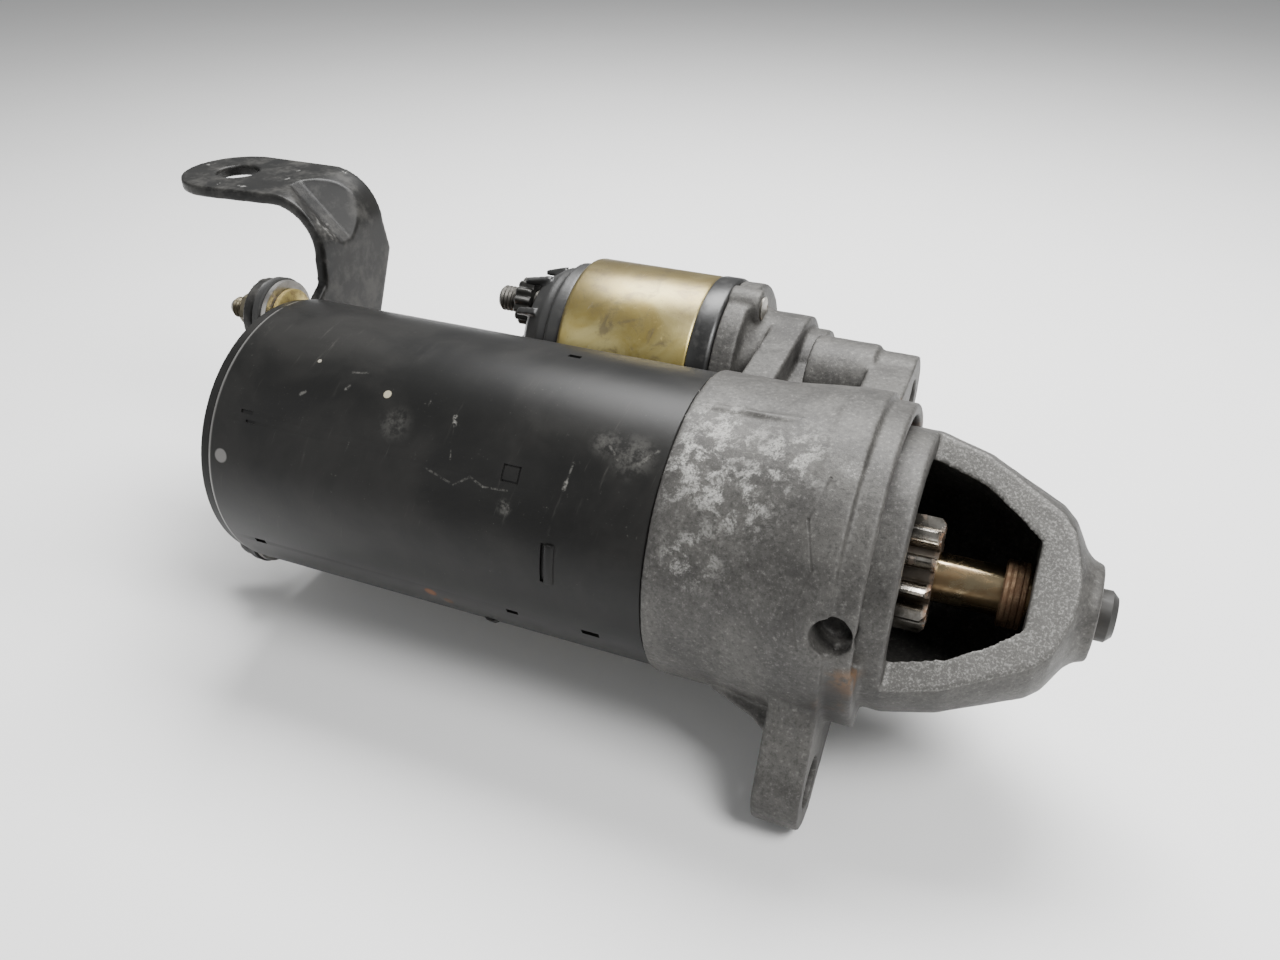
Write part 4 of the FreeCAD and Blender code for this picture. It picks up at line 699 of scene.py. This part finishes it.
def makeSolenoid():
    s = solenoidShape
    centre = [(solenoidY, solenoidZ)]
    rear, front, radius = s["canRear"], s["canFront"], s["radius"]
    turned("canShell", [
        (rear, radius - 3.2), (rear, radius - 1.5), (rear + 0.3, radius - 0.7), (rear + 0.9, radius - 0.2),
        (rear + 1.7, radius), (front - 0.6, radius), (front, radius - 0.4), (front, radius - 1.5),
        (rear + 1.6, radius - 1.5), (rear + 1.6, radius - 3.2)],
        zincGold("canZinc", True), "casing", ("solenoid_can",), "zinc_gold", centre, 192)
    turned("sealLip", [
        (front, radius - 8), (front, radius - 0.5), (front + 0.4, radius + 0.15), (front + 1.2, radius + 0.3),
        (s["mount"] - 1.2, radius + 0.3), (s["mount"] - 0.4, radius), (s["mount"], radius - 0.5),
        (s["mount"], radius - 8)],
        rubberBlack("sealRubber", 0.009, 0.34), "casing", ("solenoid_seal",), "black_rubber", centre, 192)


def makeCap():
    s = solenoidShape
    rear = s["canRear"]
    shape = fromNode("solenoid_cap")
    # collar over the rolled edge of the can
    lathe(shape, [(rear - 5.0, 20), (rear - 5.0, 23.9), (rear - 4.4, 24.6), (rear - 0.5, 24.6), (rear, 24.2),
                  (rear, 20)], solenoidY, solenoidZ, 128)
    # moulded wedge between the terminals and two low ribs beside it
    for turn, long, high in ((100, 17, 4.5), (70, 13, 2.6), (135, 13, 2.6)):
        side = Vector((0, math.cos(math.radians(turn)), math.sin(math.radians(turn))))
        cross = Vector((1, 0, 0)).cross(side)
        foot = Vector((s["capEnd"] + 5.5, solenoidY, solenoidZ)) + side * 19 - cross * 1.1
        prism(shape, [foot * mm, (foot + Vector((-high - 4, 0, 0))) * mm,
                      (foot + Vector((-high - 4, 0, 0)) + side * 1.5) * mm,
                      (foot + side * 3.4) * mm], cross * 2.2 * mm)
    skin = fused("capMoulding", shape, 0.5, 3)
    finishPiece("capMoulding", skin, rubberBlack("capPlastic", 0.02, 0.42), "casing", ("solenoid_cap",),
                180)
    print("solenoid: cap with", len(skin.vertices), "points")


def terminalCentres():
    centres = []
    for side in (1, -1):
        turn = math.radians(100)
        centres.append((solenoidY + 12 * side * math.cos(turn), solenoidZ + 12 * side * math.sin(turn)))
    return centres


def makeTerminals():
    studs = terminalCentres()
    turned("terminalThreads", threadOutline(-131.0, -112.0, 3.95, 1.25, 0.45),
           plainGrain("terminalSteel", (0.10, 0.095, 0.085), 0.42, 0.7, 0.8, 0.03), "casing",
           ("terminal_studs",), "copper", studs, 48)

    def ribbed(angle):
        radius = 7.0 + 0.45 * math.cos(math.radians(angle * 14))
        return [(-124.1, 4.1), (-124.1, radius - 0.6), (-123.5, radius), (-119.6, radius), (-118.8, radius - 0.5),
                (-118.8, 4.1)]
    shape = bmesh.new()
    lathe(shape, ribbed, *studs[0], segments=168)
    lathe(shape, hexNut(-124.0, -118.8, 6.4, 4.1), *studs[1], segments=72)
    finishPiece("terminalNuts", meshOf("terminalNuts", shape),
                plainGrain("nutDark", (0.035, 0.034, 0.031), 0.4, 0.5, 0.7, 0.03), "casing",
                ("terminal_nuts",), 30)


def studFinish():
    # zinc on the collar, dirt and dark oxide in the thread
    f = Finish("studZinc")
    grime = f.fade(f.along("X"), -172 * mm, -174 * mm)
    mottle = f.fade(f.noise(2.4, 4, 0.7), 0.4, 0.65)
    colour = f.mix((0.44, 0.35, 0.13), (0.24, 0.18, 0.075), mottle)
    colour = f.mix(colour, (0.035, 0.033, 0.030), grime * 0.9)
    return f.close(colour, 0.32 + mottle * 0.15, 0.8, f.noise(0.5, 3), 0.02, 0.5)


def studCentres():
    return [(32 * math.cos(math.radians(a)), 32 * math.sin(math.radians(a))) for a in (71, 251)]


def makeStuds():
    centres = studCentres()
    collar = [(-30.6, 0), (-30.6, 2.2), (-169.5, 2.2), (-169.5, 7.4), (-169.9, 8.0), (-171.1, 8.0), (-171.5, 7.5),
              (-171.5, 3.0)]
    thread = []
    x = -171.5
    while x > -189.5:
        thread += [(x, 2.62), (x - 0.45, 3.0), (x - 0.55, 3.0)]
        x -= 1.0
    turned("studs", collar + thread + [(-189.6, 2.6), (-190.5, 2.0), (-190.5, 0)],
           studFinish(), "casing", ("through_bolts",), "zinc_gold", centres, 48)
    turned("isolators", [(-175.9, 3.1), (-175.9, 10.0), (-175.5, 10.7), (-174.5, 10.5), (-173.5, 10.8),
                         (-173.15, 10.2), (-173.15, 3.1)],
           rubberBlack("isolatorRubber", 0.02, 0.5), "casing", ("isolator_rings",), "black_rubber", centres, 72)
    shape = bmesh.new()
    for y, z in centres:
        lathe(shape, hexNut(-184.7, -179.6, 5.0, 3.05), y, z, 72)
    finishPiece("studNuts", meshOf("studNuts", shape),
                plainGrain("studNutSteel", (0.13, 0.115, 0.08), 0.4, 0.75, 0.8, 0.03),
                "casing", ("stud_nuts",), 30)
    print("studs and terminals made")


def makeStopRing():
    outline = [(32.5, 6.05), (32.5, 7.4), (32.9, 8.0), (33.6, 8.0), (33.9, 7.7), (34.2, 8.0), (34.9, 8.0),
               (35.2, 7.7), (35.5, 8.0), (36.4, 8.0), (36.7, 7.7), (37.0, 8.0), (37.6, 7.95),
               (38.0, 7.4), (38.0, 6.05)]
    turned("stopRing", outline, steelWorn("stopSteel", (0.30, 0.21, 0.13), 0.9, 0.42, (0.11, 0.05, 0.022)),
           "output", ("stop_ring",), "dark_steel", segments=96, smooth=30)


def makeReturnSpring():
    # the plunger's return spring on a mesh of its own, kept at its CAD length; the real spring shortens as the
    # plunger is pulled in
    steel = steelWorn("springSteel", (0.34, 0.33, 0.31), 0.2, 0.3)
    spring = finishPiece("returnSpring", meshOf("returnSpring", fromNode("return_spring")), steel, "casing",
                         ("return_spring",), 40)
    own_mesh(spring)
    return steel


def shaftSteel():
    # greasy bearing steel, brown near the pinion and black at its free end
    f = Finish("shaftSteel")
    film = f.fade(f.noise(5, 4, 0.6, 0.6, (2.5, 1, 1)), 0.38, 0.62)
    colour = f.mix((0.42, 0.34, 0.21), (0.17, 0.10, 0.045), film * 0.75)
    tip = f.fade(f.along("X"), 52.0 * mm, 53.5 * mm)
    colour = f.mix(colour, (0.03, 0.029, 0.027), tip)
    rough = 0.16 + film * 0.18 + tip * 0.25
    return f.close(colour, rough, 1.0 - tip * 0.7, f.noise(0.35, 2, 0.5, 0, (1, 40, 40)), 0.015, 0.4)


def pinionSteel():
    # teeth polished by the flywheel, their front ends browned
    f = Finish("pinionSteel")
    front = f.fade(f.along("X"), 16.2 * mm, 17.2 * mm)
    stain = f.fade(f.noise(2.2, 5, 0.7, 0.6), 0.42, 0.58)
    wide = f.fade(f.noise(3.4, 5, 0.7), 0.56, 0.70)
    colour = f.mix((0.56, 0.53, 0.48), (0.30, 0.275, 0.235), f.fade(f.noise(3, 4), 0.35, 0.7))
    brown = front * stain
    colour = f.mix(colour, (0.20, 0.095, 0.04), brown.larger(wide * 0.55) * 0.85)
    root = f.fade(f.reach(), 10.6 * mm, 9.8 * mm)
    colour = f.mix(colour, (0.07, 0.05, 0.032), root * 0.8)
    rough = 0.18 + brown * 0.35 + wide * 0.2 + root * 0.15
    return f.close(colour, rough, 1.0 - brown * 0.5, f.noise(0.5, 3) + brown * 0.8, 0.03, 0.6)


def dressNodes(springs):
    # CAD pieces that keep their own shape
    give(blackPaint("coverPaint"), "rear_cover")
    give(pinionSteel(), "pinion")
    give(shaftSteel(), "drive_shaft")
    give(steelWorn("drivePlate", (0.33, 0.315, 0.29), 0.4, 0.34, turned=True), "clutch_shell",
         "clutch_cover", "clutch_sleeve")
    give(steelWorn("fineSteel", (0.52, 0.51, 0.49), 0.15, 0.22, turned=True), "armature_shaft", "planet_pins",
         "clutch_rollers", "lever_pin", "plunger", "contact_rod", "stop_circlip")
    give(steelWorn("gearSteel", (0.40, 0.39, 0.37), 0.2, 0.3), "sun_gear", "planet_gear_1", "planet_gear_2",
         "planet_gear_3", "ring_gear", "gear_plate", "bearing_plate")
    give(steelWorn("screwSteel", (0.36, 0.34, 0.30), 0.5, 0.36), "solenoid_screws", "signal_blade")
    give(steelWorn("washerSteel", (0.42, 0.41, 0.39), 0.3, 0.34, turned=True), "stud_washers")
    give(springs, "return_spring", "contact_spring", "brush_springs")
    give(plainGrain("laminate", (0.12, 0.115, 0.105), 0.5, 0.6, 0.5, 0.04), "armature_core",
         "pole_plate", "solenoid_core")
    give(copperBare("windings"), "armature_winding", "rear_winding", "solenoid_coil")
    give(copperBare("copperBars", (0.62, 0.33, 0.18)), "commutator", "contact_bridge", "link_eye", "motor_link")
    give(copperBare("bronzeBush", (0.50, 0.36, 0.17)), "rear_bush", "carrier_bush", "nose_bush")
    give(plainGrain("magnetBlock", (0.045, 0.045, 0.048), 0.6, 0.0, 0.9, 0.05), "magnets")
    give(plainGrain("brushCarbon", (0.03, 0.03, 0.031), 0.5, 0.1, 0.6, 0.03), "brushes")
    give(rubberBlack("innerPlastic", 0.02, 0.5), "coil_bobbin", "brush_plate", "link_grommet")
    give(plainGrain("leverPlastic", (0.17, 0.17, 0.16), 0.55, 0.0, 1.0, 0.04), "shift_lever")


def softLight(name, place, aim, width, height, power, tone=(1, 1, 1)):
    lamp = bpy.data.lights.new(name, "AREA")
    lamp.shape = "RECTANGLE"
    lamp.size = width
    lamp.size_y = height
    lamp.energy = power
    lamp.color = tone
    holder = bpy.data.objects.new(name, lamp)
    holder.location = place
    holder.rotation_euler = (Vector(aim) - Vector(place)).to_track_quat("-Z", "Y").to_euler()
    bpy.context.collection.objects.link(holder)


def makeStudio():
    ground = bmesh.new()
    level = cadLow[2] - 0.0006
    corners = [ground.verts.new((x, y, level)) for x, y in ((-6, -6), (6, -6), (6, 6), (-6, 6))]
    ground.faces.new(corners)
    mesh = bpy.data.meshes.new("floor")
    ground.to_mesh(mesh)
    ground.free()
    f = Finish("floorPaper")
    shade = f.noise(120, 2)
    mesh.materials.append(f.close(f.mix((0.80, 0.80, 0.795), (0.84, 0.84, 0.835), shade), 0.85))
    floor = bpy.data.objects.new("floor", mesh)
    bpy.context.collection.objects.link(floor)

    world = bpy.data.worlds.new("studio")
    world.use_nodes = True
    world.node_tree.nodes["Background"].inputs["Color"].default_value = (0.93, 0.94, 0.95, 1)
    world.node_tree.nodes["Background"].inputs["Strength"].default_value = 0.33
    bpy.context.scene.world = world
    softLight("overhead", (-0.10, 0.32, 0.62), (-0.06, 0.0, 0), 0.55, 0.35, 14.0)
    softLight("window", (0.38, -0.18, 0.60), (-0.05, 0, 0), 0.3, 0.3, 7.0)
    softLight("fill", (-0.6, -0.5, 0.3), (-0.08, 0, 0), 0.6, 0.6, 1.0)


def makeCamera():
    lens = bpy.data.cameras.new("view")
    lens.sensor_width = 36
    lens.lens = 29.77
    lens.clip_start = 0.01
    holder = bpy.data.objects.new("view", lens)
    right = Vector((0.924, 0.382, 0.0)).normalized()
    ahead = Vector((-0.321, 0.777, -0.542)).normalized()
    right = (right - ahead * right.dot(ahead)).normalized()
    up = right.cross(ahead)
    turn = Matrix((right, up, -ahead)).transposed().to_4x4()
    holder.matrix_world = Matrix.Translation((0.0285, -0.2103, 0.1552)) @ turn
    bpy.context.collection.objects.link(holder)
    bpy.context.scene.camera = holder


makeCasting()
makeBracket()
makeSolenoid()
makeCap()
makeTerminals()
makeStuds()
makeStopRing()
dressNodes(makeReturnSpring())
makeStudio()
makeCamera()
